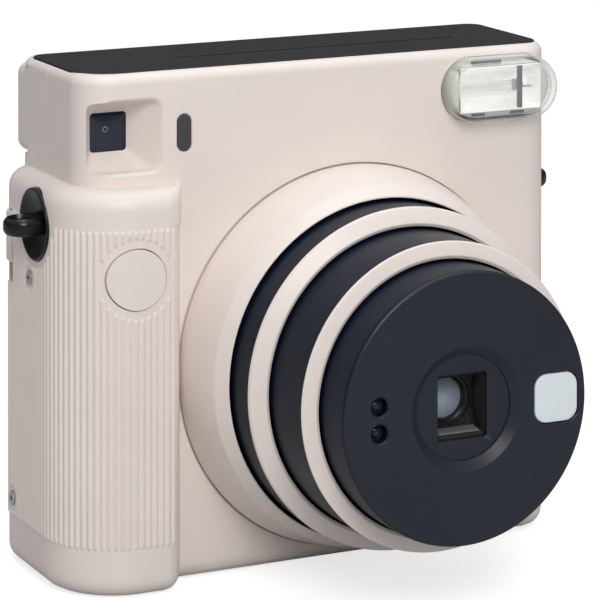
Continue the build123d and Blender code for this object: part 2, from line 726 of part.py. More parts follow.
with BuildPart() as lens_hood:
    with BuildSketch(at_depth(BARRIER_Y + BARRIER_THICK + 0.2)):
        with Locations((LENS_X, LENS_Z)):
            Circle(11.5)
            RectangleRounded(APERTURE_W - 1.0, APERTURE_H - 1.0, 0.8, mode=Mode.SUBTRACT)
    extrude(amount=-3.2)
    fillet(lens_hood.faces().sort_by(Axis.Y)[-1].outer_wire().edges(), 0.8)
save(lens_hood, "lens_hood")

for sign, label in ((1, "barrier_blade_upper"), (-1, "barrier_blade_lower")):
    with BuildPart() as barrier:
        with BuildSketch(at_depth(BARRIER_Y)):
            with Locations((LENS_X, LENS_Z + sign * 11.0)):
                RectangleRounded(16.0, 7.6, 0.6)
        extrude(amount=-BARRIER_THICK)
    save(barrier, label)

with BuildPart() as lens_cell:
    with BuildSketch(Plane.XY.offset(LENS_Z)):
        with BuildLine():
            Polyline(
                (LENS_X + 7.9, CELL_FRONT_Y),
                (LENS_X + CELL_R, CELL_FRONT_Y),
                (LENS_X + CELL_R, CELL_REAR_Y - 1.6),
                (LENS_X + 14.0, CELL_REAR_Y - 1.6),
                (LENS_X + 14.0, CELL_REAR_Y),
                (LENS_X + 3.6, CELL_REAR_Y),
                (LENS_X + 3.6, CELL_REAR_Y - 0.6),
                (LENS_X + LENS_R + 0.05, CELL_REAR_Y - 0.6),
                (LENS_X + LENS_R + 0.05, CELL_REAR_Y - 3.4),
                (LENS_X + 6.2, CELL_REAR_Y - 4.2),
                (LENS_X + 6.2, CELL_REAR_Y - 5.2),
                (LENS_X + 7.9, CELL_REAR_Y - 5.6),
                close=True,
            )
        make_face()
    revolve(axis=LENS_AXIS)
save(lens_cell, "lens_cell")

with BuildPart() as front_lens:
    with BuildSketch(Plane.XY.offset(LENS_Z)):
        with BuildLine():
            Polyline(
                (LENS_X, LENS_EDGE_Y - LENS_SAG),
                (LENS_X, LENS_REAR_Y),
                (LENS_X + LENS_R, LENS_REAR_Y),
                (LENS_X + LENS_R, LENS_EDGE_Y),
            )
            CenterArc(
                (LENS_X, LENS_EDGE_Y - LENS_SAG + LENS_DOME_R),
                LENS_DOME_R,
                -90,
                math.degrees(math.asin(LENS_R / LENS_DOME_R)),
            )
        make_face()
    revolve(axis=LENS_AXIS)
save(front_lens, "front_lens")

with BuildPart() as lens_holder:
    with BuildSketch(at_depth(HOLDER_FRONT_Y)):
        ring_sketch(FRONT_BARREL_BORE_R - 0.05, 5.1)
    extrude(amount=-HOLDER_THICK)
    with BuildSketch(at_depth(HOLDER_FRONT_Y + HOLDER_THICK)):
        ring_sketch(7.0, 5.1)
    extrude(amount=-1.5)
    with BuildSketch(at_depth(HOLDER_FRONT_Y)):
        with Locations((LENS_X - BLADE_PIVOT_X, LENS_Z), (LENS_X + BLADE_PIVOT_X, LENS_Z)):
            Circle(0.6)
    extrude(amount=1.0)
save(lens_holder, "lens_holder")

with BuildPart() as rear_lens:
    with BuildSketch(at_depth(HOLDER_FRONT_Y + 0.4)):
        with Locations((LENS_X, LENS_Z)):
            Circle(5.0)
    extrude(amount=-2.2)
    chamfer(rear_lens.faces().sort_by(Axis.Y)[-1].edges(), 0.4)
save(rear_lens, "rear_lens")

for sign, depth, label in (
    (-1, HOLDER_FRONT_Y - 0.1, "shutter_blade_left"),
    (1, HOLDER_FRONT_Y - 0.6, "shutter_blade_right"),
):
    with BuildPart() as blade:
        with BuildSketch(at_depth(depth)):
            with Locations((LENS_X + sign * BLADE_PIVOT_X, LENS_Z)):
                Circle(2.2)
            with Locations((LENS_X + sign * (BLADE_PIVOT_X + 1.0) / 2, LENS_Z)):
                Rectangle(BLADE_PIVOT_X - 1.0, 3.6)
            with Locations((LENS_X + sign * 0.8, LENS_Z)):
                Circle(5.2)
            with Locations((LENS_X + sign * BLADE_PIVOT_X, LENS_Z)):
                Circle(0.66, mode=Mode.SUBTRACT)
        extrude(amount=BLADE_THICK)
    save(blade, label)

# ---------------------------------------------------------------- shutter button

with BuildPart() as shutter_button:
    add(grip_form.part)
    with BuildSketch(at_depth(GRIP_FRONT_Y - 1)):
        with Locations((BUTTON_X, BUTTON_Z)):
            Circle(BUTTON_R - 0.05)
    extrude(amount=-4.5, mode=Mode.INTERSECT)
    with BuildSketch(at_depth(GRIP_FRONT_Y + 3.45)):
        with Locations((BUTTON_X, BUTTON_Z)):
            Circle(BUTTON_R + 0.6)
    extrude(amount=-1.2)
    with BuildSketch(at_depth(GRIP_FRONT_Y + 4.65)):
        with Locations((BUTTON_X, BUTTON_Z)):
            Circle(2.0)
    extrude(amount=-2.9)
save(shutter_button, "shutter_button")

with BuildPart() as button_switch:
    with BuildSketch(at_depth(GRIP_FRONT_Y + 9.4)):
        with Locations((BUTTON_X, BUTTON_Z)):
            RectangleRounded(14.0, 12.0, 1.0)
    extrude(amount=-3.0)
save(button_switch, "button_switch")

with BuildPart() as button_spring:
    with BuildLine() as spring_path:
        Helix(
            pitch=1.2,
            height=3.9,
            radius=3.0,
            center=(BUTTON_X, GRIP_FRONT_Y + 5.05, BUTTON_Z),
            direction=(0, 1, 0),
        )
    with BuildSketch(Plane(origin=spring_path.line @ 0, z_dir=spring_path.line % 0)):
        Circle(0.25)
    sweep(path=spring_path.line, is_frenet=True)
save(button_spring, "button_spring")

# ---------------------------------------------------------------- film chamber and pack

with BuildPart() as film_chamber:
    with BuildSketch(Plane.XY.offset(CHAMBER_BOTTOM)):
        with Locations(
            ((CHAMBER_LEFT + CHAMBER_RIGHT) / 2, (CHAMBER_FRONT_Y + CHAMBER_BACK_Y) / 2)
        ):
            Rectangle(CHAMBER_RIGHT - CHAMBER_LEFT, CHAMBER_BACK_Y - CHAMBER_FRONT_Y)
    extrude(amount=CHAMBER_TOP - CHAMBER_BOTTOM)
    with BuildSketch(at_depth(0)):
        with Locations(
            ((CHAMBER_LEFT + CHAMBER_RIGHT) / 2, (CHAMBER_BOTTOM + CHAMBER_TOP) / 2)
        ):
            Rectangle(
                CHAMBER_RIGHT - CHAMBER_LEFT - 2 * CHAMBER_WALL,
                CHAMBER_TOP - CHAMBER_BOTTOM - 2 * CHAMBER_WALL,
            )
    extrude(amount=-20, mode=Mode.SUBTRACT)
    with BuildSketch(at_depth(-3)):
        with Locations((LENS_X, LENS_Z)):
            Rectangle(IMAGE_SIZE, IMAGE_SIZE)
    extrude(amount=-4, mode=Mode.SUBTRACT)
    with BuildSketch(Plane.XY.offset(CHAMBER_TOP - 4)):
        with Locations((LENS_X, 1.6)):
            Rectangle(74.0, 2.4)
    extrude(amount=6, mode=Mode.SUBTRACT)
save(film_chamber, "film_chamber")

with BuildPart() as film_pack:
    with BuildSketch(at_depth(PACK_FRONT_Y)):
        with Locations((LENS_X, (PACK_BOTTOM + PACK_TOP) / 2)):
            RectangleRounded(PACK_W, PACK_TOP - PACK_BOTTOM, 2.0)
    extrude(amount=-(PACK_BACK_Y - PACK_FRONT_Y))
    with BuildSketch(at_depth(PACK_FRONT_Y + 1.0)):
        with Locations((LENS_X, (PACK_BOTTOM + PACK_TOP) / 2)):
            Rectangle(PACK_W - 4, PACK_TOP - PACK_BOTTOM - 4)
    extrude(amount=-(PACK_BACK_Y - PACK_FRONT_Y - 2.0), mode=Mode.SUBTRACT)
    with BuildSketch(at_depth(PACK_FRONT_Y)):
        with Locations((LENS_X, LENS_Z)):
            Rectangle(IMAGE_SIZE, IMAGE_SIZE)
    extrude(amount=-1.5, mode=Mode.SUBTRACT)
    with BuildSketch(Plane.XY.offset(PACK_TOP - 3)):
        with Locations((LENS_X, PACK_FRONT_Y + 1.6)):
            Rectangle(73.0, 1.2)
    extrude(amount=5, mode=Mode.SUBTRACT)
    # Windows in the back where the door springs press on the stack
    with BuildSketch(at_depth(PACK_BACK_Y - 1.5)):
        with Locations((LENS_X - 20, 52), (LENS_X + 20, 52)):
            Rectangle(12, 30)
    extrude(amount=-3, mode=Mode.SUBTRACT)
save(film_pack, "film_pack")

with BuildPart() as film_stack:
    with BuildSketch(at_depth(PACK_FRONT_Y + 1.2)):
        with Locations((LENS_X, (PACK_BOTTOM + PACK_TOP) / 2)):
            Rectangle(72.0, 86.0)
    extrude(amount=-7.5)
save(film_stack, "film_stack")

# ---------------------------------------------------------------- film door

DOOR_MID_Z = (DOOR_BOTTOM + DOOR_TOP) / 2

with BuildPart() as film_door:
    with BuildSketch(Plane.XY.offset(DOOR_BOTTOM)):
        with Locations(((DOOR_LEFT + DOOR_HINGE_X) / 2, DOOR_HINGE_Y)):
            Rectangle(DOOR_HINGE_X - DOOR_LEFT, BACK_WALL)
        with Locations((DOOR_HINGE_X, DOOR_HINGE_Y)):
            Circle(BACK_WALL / 2)
    extrude(amount=DOOR_TOP - DOOR_BOTTOM)
    fillet(film_door.edges().filter_by(Axis.Y).group_by(Axis.X)[0], 2.0)
    fillet(film_door.edges().filter_by(Axis.Z).group_by(Axis.X)[0].sort_by(Axis.Y)[-1], 1.8)
    with BuildSketch(at_depth(BACK_Y - 1.0)):
        with Locations((LENS_X - 2, DOOR_MID_Z + 6)):
            RectangleRounded(11.2, 27.2, 2.0)
    extrude(amount=-3, mode=Mode.SUBTRACT)
    with BuildSketch(at_depth(INNER_BACK_Y - 1)):
        with Locations((LENS_X - 2, DOOR_MID_Z + 6)):
            RectangleRounded(7.0, 22.0, 1.0)
    extrude(amount=-6, mode=Mode.SUBTRACT)
    with BuildSketch(Plane.XY.offset(DOOR_BOTTOM - 1)):
        with Locations((DOOR_HINGE_X, DOOR_HINGE_Y)):
            Circle(HINGE_PIN_R + 0.06)
    extrude(amount=DOOR_TOP - DOOR_BOTTOM + 2, mode=Mode.SUBTRACT)
save(film_door, "film_door")

with BuildPart() as film_door_hinge_pin:
    with BuildSketch(Plane.XY.offset(6.2)):
        with Locations((DOOR_HINGE_X, DOOR_HINGE_Y)):
            Circle(HINGE_PIN_R)
    extrude(amount=91.6)
save(film_door_hinge_pin, "film_door_hinge_pin")

with BuildPart() as pack_window:
    with BuildSketch(at_depth(BACK_Y - 0.95)):
        with Locations((LENS_X - 2, DOOR_MID_Z + 6)):
            RectangleRounded(11.0, 27.0, 1.9)
    extrude(amount=-0.85)
save(pack_window, "pack_window")

with BuildPart() as pressure_springs:
    for x in (LENS_X - 20, LENS_X + 20):
        with BuildSketch(Plane.YZ.offset(x - 4)):
            with BuildLine():
                Polyline(
                    (INNER_BACK_Y - 0.05, 66),
                    (INNER_BACK_Y - 0.05, 62),
                    (INNER_BACK_Y - 1.6, 52),
                    (INNER_BACK_Y - 0.05, 42),
                    (INNER_BACK_Y - 0.05, 38),
                    (INNER_BACK_Y - 0.45, 38),
                    (INNER_BACK_Y - 0.45, 42),
                    (INNER_BACK_Y - 1.95, 52),
                    (INNER_BACK_Y - 0.45, 62),
                    (INNER_BACK_Y - 0.45, 66),
                    close=True,
                )
            make_face()
        extrude(amount=8)
save(pressure_springs, "pressure_springs")

with BuildPart() as door_latch:
    with BuildSketch(at_depth(10.2)):
        with Locations((-63.0, 77.0)):
            RectangleRounded(3.4, 12.6, 1.0)
    extrude(amount=-3.6)
save(door_latch, "door_latch")

with BuildPart() as counter_window:
    with BuildSketch(at_depth(INNER_BACK_Y + 1)):
        with Locations(COUNTER_WINDOW):
            RectangleRounded(6.2, 4.6, 0.9)
    extrude(amount=-2.8)
save(counter_window, "counter_window")

with BuildPart() as counter_dial:
    with BuildSketch(at_depth(13.0)):
        with Locations((COUNTER_X, COUNTER_Z)):
            Circle(6.2)
            Circle(1.06, mode=Mode.SUBTRACT)
            with PolarLocations(6.4, 12):
                Circle(0.5, mode=Mode.SUBTRACT)
    extrude(amount=-1.0)
save(counter_dial, "counter_dial")

with BuildPart() as counter_axle:
    with BuildSketch(at_depth(10.5)):
        with Locations((COUNTER_X, COUNTER_Z)):
            Circle(1.0)
    extrude(amount=-5.0)
    with BuildSketch(at_depth(10.5)):
        with Locations((COUNTER_X, (COUNTER_Z + CHAMBER_TOP) / 2 + 1.1)):
            RectangleRounded(5.0, COUNTER_Z - CHAMBER_TOP + 2.0, 1.0)
    extrude(amount=1.4)
save(counter_axle, "counter_axle")

# ---------------------------------------------------------------- film ejection

ROLLER_LEFT = LENS_X - 37.0
ROLLER_RIGHT = LENS_X + 37.0
FRAME_PLATES = ((CHAMBER_LEFT, 1), (CHAMBER_RIGHT, -1))
PLATE_W = 1.8

with BuildPart() as roller_frame:
    for plate_x, inwards in FRAME_PLATES:
        with BuildSketch(Plane.YZ.offset(plate_x)):
            with Locations((NIP_Y, ROLLER_Z)):
                Rectangle(19.0, 8.4)
            with Locations((FRONT_ROLLER_Y, ROLLER_Z), (REAR_ROLLER_Y, ROLLER_Z)):
                Circle(BEARING_R + 0.05, mode=Mode.SUBTRACT)
        extrude(amount=inwards * PLATE_W)
    with BuildSketch(Plane.XY.offset(CHAMBER_TOP + 0.1)):
        with Locations((LENS_X, NIP_Y - 8.8), (LENS_X, NIP_Y + 8.8)):
            Rectangle(CHAMBER_RIGHT - CHAMBER_LEFT, 1.4)
    extrude(amount=5)
save(roller_frame, "roller_frame")

with BuildPart() as roller_bearings:
    for plate_x, inwards in FRAME_PLATES:
        with BuildSketch(Plane.YZ.offset(plate_x)):
            with Locations((FRONT_ROLLER_Y, ROLLER_Z), (REAR_ROLLER_Y, ROLLER_Z)):
                Circle(BEARING_R)
                Circle(ROLLER_SHAFT_R + 0.05, mode=Mode.SUBTRACT)
        extrude(amount=inwards * PLATE_W)
save(roller_bearings, "roller_bearings")

for label, roller_y, first_angle in (
    ("front_roller", FRONT_ROLLER_Y, 0),
    ("rear_roller", REAR_ROLLER_Y, 180 / ROLLER_TEETH),
):
    with BuildPart() as roller:
        with BuildSketch(Plane.YZ.offset(ROLLER_LEFT)):
            with Locations((roller_y, ROLLER_Z)):
                Circle(ROLLER_R)
        extrude(amount=ROLLER_RIGHT - ROLLER_LEFT)
        with BuildSketch(Plane.YZ.offset(GEAR_X)):
            with Locations((roller_y, ROLLER_Z)):
                Circle(ROLLER_SHAFT_R)
        extrude(amount=CHAMBER_RIGHT + 1.5 - GEAR_X)
        with BuildSketch(Plane.YZ.offset(GEAR_X)):
            with Locations((roller_y, ROLLER_Z)):
                gear_teeth(ROLLER_TEETH, first_angle)
        extrude(amount=GEAR_WIDTH)
    save(roller, label)

with BuildPart() as idler_gear:
    with BuildSketch(Plane.YZ.offset(GEAR_X)):
        with Locations((FRONT_ROLLER_Y, IDLER_Z)):
            gear_teeth(IDLER_TEETH, 180 / IDLER_TEETH + 90)
            Circle(1.06, mode=Mode.SUBTRACT)
            with PolarLocations(4.6, 5):
                Circle(1.3, mode=Mode.SUBTRACT)
    extrude(amount=GEAR_WIDTH)
save(idler_gear, "idler_gear")

with BuildPart() as idler_axle:
    with BuildSketch(Plane.YZ.offset(GEAR_X - 0.6)):
        with Locations((FRONT_ROLLER_Y, IDLER_Z)):
            Circle(1.0)
    extrude(amount=CHAMBER_LEFT - GEAR_X)
    with BuildSketch(Plane.YZ.offset(GEAR_X - 0.9)):
        with Locations((FRONT_ROLLER_Y, IDLER_Z)):
            Circle(1.8)
    extrude(amount=0.6)
save(idler_axle, "idler_axle")

with BuildPart() as motor_pinion:
    with BuildSketch(Plane.YZ.offset(GEAR_X)):
        with Locations((FRONT_ROLLER_Y, PINION_Z)):
            gear_teeth(PINION_TEETH, 90)
    extrude(amount=GEAR_WIDTH)
    with BuildSketch(Plane.YZ.offset(GEAR_X)):
        with Locations((FRONT_ROLLER_Y, PINION_Z)):
            Circle(0.8)
    extrude(amount=-2.6)
save(motor_pinion, "motor_pinion")

with BuildPart() as eject_motor:
    with BuildSketch(Plane.YZ.offset(-57.0)):
        with Locations((FRONT_ROLLER_Y, PINION_Z)):
            Circle(6.2)
    extrude(amount=18.4)
    fillet(eject_motor.edges(), 0.8)
    with BuildSketch(Plane.YZ.offset(-38.6)):
        with Locations((FRONT_ROLLER_Y, PINION_Z)):
            Circle(2.2)
    extrude(amount=0.8)
    with BuildSketch(Plane.YZ.offset(-40.0)):
        with Locations((FRONT_ROLLER_Y, PINION_Z)):
            Circle(0.86)
    extrude(amount=3, mode=Mode.SUBTRACT)
save(eject_motor, "eject_motor")

with BuildPart() as film_claw:
    with BuildSketch(Plane.YZ.offset(CHAMBER_LEFT - 1.6)):
        with Locations((6.0, 20.0)):
            RectangleRounded(4.0, 22.0, 1.0)
        with Locations((3.4, 10.6)):
            RectangleRounded(6.0, 2.4, 0.6)
    extrude(amount=1.4)
save(film_claw, "film_claw")

# ---------------------------------------------------------------- power and electronics

with BuildPart() as batteries:
    for level in range(2):
        with BuildSketch(Plane.XY.offset(4.4 + level * (BATTERY_LENGTH + 0.2))):
            with Locations((BATTERY_X, BATTERY_Y)):
                Circle(BATTERY_R)
        extrude(amount=BATTERY_LENGTH - 1.2)
        with BuildSketch(Plane.XY.offset(4.4 + BATTERY_LENGTH - 1.2 + level * (BATTERY_LENGTH + 0.2))):
            with Locations((BATTERY_X, BATTERY_Y)):
                Circle(2.6)
        extrude(amount=1.2)
save(batteries, "batteries")

with BuildPart() as battery_contacts:
    with BuildSketch(Plane.XY.offset(59.6)):
        with Locations((BATTERY_X, BATTERY_Y)):
            RectangleRounded(12.0, 8.0, 1.0)
    extrude(amount=0.5)
    with BuildSketch(Plane.XY.offset(2.75)):
        with Locations((BATTERY_X, BATTERY_Y)):
            RectangleRounded(10.0, 8.0, 1.0)
    extrude(amount=0.5)
save(battery_contacts, "battery_contacts")

HINGE_X = BATTERY_X + BATTERY_DOOR_SIZE / 2 - BATTERY_DOOR_THICK / 2
HINGE_Z = BATTERY_DOOR_THICK / 2

with BuildPart() as battery_door:
    with BuildSketch(at_depth(BATTERY_Y - BATTERY_DOOR_SIZE / 2)):
        with Locations((BATTERY_X - BATTERY_DOOR_THICK / 4, HINGE_Z)):
            Rectangle(BATTERY_DOOR_SIZE - BATTERY_DOOR_THICK / 2, BATTERY_DOOR_THICK)
        with Locations((HINGE_X, HINGE_Z)):
            Circle(BATTERY_DOOR_THICK / 2)
            Circle(0.56, mode=Mode.SUBTRACT)
    extrude(amount=-BATTERY_DOOR_SIZE)
    with BuildSketch(Plane.XY):
        with Locations([(BATTERY_X - 5 + 1.6 * step, BATTERY_Y) for step in range(4)]):
            Rectangle(0.6, 8.0)
    extrude(amount=0.4, mode=Mode.SUBTRACT)
save(battery_door, "battery_door")

with BuildPart() as battery_door_pin:
    with BuildSketch(at_depth(BATTERY_Y - BATTERY_DOOR_SIZE / 2)):
        with Locations((HINGE_X, HINGE_Z)):
            Circle(0.5)
    extrude(amount=-BATTERY_DOOR_SIZE)
save(battery_door_pin, "battery_door_pin")

with BuildPart() as main_board:
    with BuildSketch(at_depth(6.0)):
        with Locations((-48.0, 39.0)):
            RectangleRounded(24.0, 60.0, 1.0)
    extrude(amount=-1.6)
    with BuildSketch(at_depth(6.0)):
        with Locations((-52.0, 24.0), (-44.0, 46.0)):
            Rectangle(7.0, 9.0)
    extrude(amount=1.5)
save(main_board, "main_board")

with BuildPart() as flash_capacitor:
    with BuildSketch(Plane.XY.offset(22.0)):
        with Locations((58.4, -8.0)):
            Circle(4.5)
    extrude(amount=36.0)
    fillet(flash_capacitor.edges(), 0.8)
save(flash_capacitor, "flash_capacitor")
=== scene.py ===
import math

import bmesh
import bpy
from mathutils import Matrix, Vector


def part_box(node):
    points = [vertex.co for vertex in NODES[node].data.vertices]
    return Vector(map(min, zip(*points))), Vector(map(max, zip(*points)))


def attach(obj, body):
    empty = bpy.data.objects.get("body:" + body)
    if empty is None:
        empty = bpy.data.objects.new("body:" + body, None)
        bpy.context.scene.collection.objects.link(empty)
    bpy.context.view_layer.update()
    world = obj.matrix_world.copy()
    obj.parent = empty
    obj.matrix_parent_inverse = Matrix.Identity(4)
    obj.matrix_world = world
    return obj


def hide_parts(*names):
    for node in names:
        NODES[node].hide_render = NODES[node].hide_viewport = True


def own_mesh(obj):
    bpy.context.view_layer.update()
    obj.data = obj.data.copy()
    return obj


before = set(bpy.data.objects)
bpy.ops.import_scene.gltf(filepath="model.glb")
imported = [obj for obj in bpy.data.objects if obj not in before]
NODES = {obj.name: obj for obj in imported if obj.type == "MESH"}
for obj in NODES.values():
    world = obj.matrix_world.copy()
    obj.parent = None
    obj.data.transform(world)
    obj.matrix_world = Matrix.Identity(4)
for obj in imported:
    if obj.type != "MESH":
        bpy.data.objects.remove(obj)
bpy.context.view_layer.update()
MM = 0.001
WHITE = (1.0, 1.0, 1.0, 1.0)
AMBIENT = 0.44  # strength of the white surroundings as the object sees them

# ------------------------------------------------------------------ sizes, in millimetres


def node_box(node):
    """Lowest and highest corner of a CAD node, in millimetres."""
    low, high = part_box(node)
    return low / MM, high / MM


def node_centre(node):
    low, high = node_box(node)
    return (low + high) / 2


RING_LOW, RING_HIGH = node_box("control_ring")
LENS_X = (RING_LOW.x + RING_HIGH.x) / 2
LENS_Z = node_centre("outer_barrel").z
RING_R = (RING_HIGH.x - RING_LOW.x) / 2

COVER_LOW, COVER_HIGH = node_box("front_cover")
HEIGHT = COVER_HIGH.z
SEAM_Y = COVER_HIGH.y
BACK_Y = node_box("rear_cover")[1].y
BODY_RIGHT = COVER_HIGH.x
BODY_LEFT = -59.0
FRONT_Y = -20.0
GRIP_LEFT = COVER_LOW.x
GRIP_FRONT = COVER_LOW.y
GRIP_TOP = 93.0
WALL = 2.0
CEILING = 115.2
THROAT_R = 42.0


# ------------------------------------------------------------------ mesh tools


def fillet_path(corners, step=0.5):
    """Points along a closed polygon whose corners (x, y, radius) are rounded with true arcs."""
    points = []
    for i, (x, y, radius) in enumerate(corners):
        here = Vector((x, y))
        if radius <= 0:
            points.append(here)
            continue
        before = (Vector(corners[i - 1][:2]) - here).normalized()
        after = (Vector(corners[(i + 1) % len(corners)][:2]) - here).normalized()
        half = math.acos(max(-1.0, min(1.0, before.dot(after)))) / 2
        reach = radius / math.tan(half)
        centre = here + (before + after).normalized() * (radius / math.sin(half))
        start = here + before * reach - centre
        end = here + after * reach - centre
        sweep = math.atan2(start.x * end.y - start.y * end.x, start.dot(end))
        steps = max(3, math.ceil(abs(sweep) * radius / step))
        for k in range(steps + 1):
            a = sweep * k / steps
            turned = (
                start.x * math.cos(a) - start.y * math.sin(a),
                start.x * math.sin(a) + start.y * math.cos(a),
            )
            points.append(centre + Vector(turned))
    return points


def normals_of(points):
    """Outward unit normals of a closed path that runs anticlockwise."""
    out = []
    for i in range(len(points)):
        along = points[(i + 1) % len(points)] - points[i - 1]
        out.append(Vector((along.y, -along.x)).normalized())
    return out


def anticlockwise(points):
    area = sum(p.x * points[(i + 1) % len(points)].y - points[(i + 1) % len(points)].x * p.y
               for i, p in enumerate(points))
    return points if area > 0 else points[::-1]


def box_path(cx, cy, width, height, radius, step=0.4):
    """Rectangle with rounded corners."""
    w, h = width / 2, height / 2
    corners = [(cx - w, cy - h), (cx + w, cy - h), (cx + w, cy + h), (cx - w, cy + h)]
    return fillet_path([(x, y, radius) for x, y in corners], step=step)


def circle_path(cx, cy, rx, ry=None, segments=96):
    ry = rx if ry is None else ry
    return [
        Vector((cx + rx * math.cos(2 * math.pi * k / segments),
                cy + ry * math.sin(2 * math.pi * k / segments)))
        for k in range(segments)
    ]


def add_object(name, data):
    piece = bpy.data.objects.new(name, data)
    bpy.context.scene.collection.objects.link(piece)
    return piece


def build(name, verts, faces):
    """A mesh object from points in millimetres."""
    mesh = bpy.data.meshes.new(name)
    mesh.from_pydata([Vector(v) * MM for v in verts], [], faces)
    work = bmesh.new()
    work.from_mesh(mesh)
    bmesh.ops.remove_doubles(work, verts=work.verts, dist=1e-6)
    bmesh.ops.recalc_face_normals(work, faces=work.faces)
    work.to_mesh(mesh)
    work.free()
    return add_object(name, mesh)


def skin(name, rings, loop=False):
    """A closed surface through equal rings of points: capped at both ends, or joined in a loop."""
    size = len(rings[0])
    verts = [p for ring in rings for p in ring]
    faces = []
    for r in range(len(rings) if loop else len(rings) - 1):
        a, b = r * size, ((r + 1) % len(rings)) * size
        for k in range(size):
            n = (k + 1) % size
            faces.append((a + k, a + n, b + n, b + k))
    if not loop:
        faces.append(tuple(range(size))[::-1])
        faces.append(tuple(range((len(rings) - 1) * size, len(rings) * size)))
    return build(name, verts, faces)


def facing(u, v, depth):
    return (u, depth, v)


def upright(u, v, depth):
    return (u, v, depth)


def sideways(u, v, depth):
    return (depth, u, v)


def prism(name, path, levels, place=facing):
    """Sweeps a path through levels (depth, outset), placing each point with place(u, v, depth)."""
    path = anticlockwise(path)
    normals = normals_of(path)
    rings = []
    for depth, outset in levels:
        rings.append([place(*(p + n * outset), depth) for p, n in zip(path, normals)])
    return skin(name, rings)


def lathe(name, profile, segments=256, centre=None):
    """Turns a closed profile of (radius, depth) points round an axis along Y."""
    cx, cz = centre or (LENS_X, LENS_Z)
    rings = []
    for k in range(segments):
        a = 2 * math.pi * k / segments
        rings.append([(cx + r * math.cos(a), y, cz + r * math.sin(a)) for r, y in profile])
    return skin(name, rings, loop=True)


def rounded_profile(corners, step=0.15):
    return [(p.x, p.y) for p in fillet_path(corners, step=step)]


def rim(radius, steps=5):
    """Quarter round as pairs of depth below the face and outset, from the flank up to the face."""
    turns = [math.pi / 2 * k / steps for k in range(steps + 1)]
    return [(radius * (1 - math.sin(a)), -radius * (1 - math.cos(a))) for a in turns]


def rounded_front(face, radius, steps, rear):
    """Levels of a slab with a rounded rim round its front face and a sharp one at the rear."""
    return [(face + depth, outset) for depth, outset in rim(radius, steps)[::-1]] + [(rear, 0)]


def rounded_levels(low, high, low_radius, high_radius):
    """Levels of a slab from depth low to high with both rims rounded."""
    start = [(low + depth, outset) for depth, outset in rim(low_radius)[::-1]]
    end = [(high - depth, outset) for depth, outset in rim(high_radius)]
    return start + end


def combine(piece, tool, operation):
    """Boolean of piece and tool, which is used up."""
    cutter = piece.modifiers.new("cut", "BOOLEAN")
    cutter.operation = operation
    cutter.object = tool
    cutter.solver = "MANIFOLD"
    settled = bpy.context.evaluated_depsgraph_get()
    settled.update()
    mesh = bpy.data.meshes.new_from_object(piece.evaluated_get(settled))
    piece.modifiers.clear()
    piece.data = mesh
    bpy.data.objects.remove(tool)
    return piece


def cut(piece, *tools):
    for tool in tools:
        combine(piece, tool, "DIFFERENCE")
    return piece


def merge(piece, *others):
    for other in others:
        combine(piece, other, "UNION")
    return piece


def keep_side(piece, y, front):
    """Cuts a closed piece at depth y and keeps the front or the rear part, closed again."""
    work = bmesh.new()
    work.from_mesh(piece.data)
    geometry = work.verts[:] + work.edges[:] + work.faces[:]
    result = bmesh.ops.bisect_plane(
        work, geom=geometry, dist=1e-7, plane_co=(0, y * MM, 0), plane_no=(0, 1, 0),
        clear_outer=front, clear_inner=not front,
    )
    rim = [e for e in result["geom_cut"] if isinstance(e, bmesh.types.BMEdge)]
    bmesh.ops.holes_fill(work, edges=rim)
    bmesh.ops.recalc_face_normals(work, faces=work.faces)
    work.to_mesh(piece.data)
    work.free()
    return piece


def copy_of(piece, name):
    return add_object(name, piece.data.copy())


def joined(name, pieces):
    """One object from several separate closed ones."""
    mesh = bpy.data.meshes.new(name)
    work = bmesh.new()
    for piece in pieces:
        work.from_mesh(piece.data)
        bpy.data.objects.remove(piece)
    work.to_mesh(mesh)
    work.free()
    return add_object(name, mesh)


def shade_smooth(piece, angle):
    """Smooth faces, with edges sharper than the angle kept crisp."""
    for polygon in piece.data.polygons:
        polygon.use_smooth = True
    piece.data.set_sharp_from_angle(angle=math.radians(angle))


def weight_normals(piece):
    piece.modifiers.new("normals", "WEIGHTED_NORMAL").keep_sharp = True


def finish_piece(piece, look, stands_for, body="camera_body", angle=32):
    """Shading, material and the CAD body the piece rides on."""
    shade_smooth(piece, angle)
    weight_normals(piece)
    piece.data.materials.clear()
    piece.data.materials.append(look)
    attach(piece, body)
    if stands_for:
        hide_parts(*stands_for)


# ------------------------------------------------------------------ materials


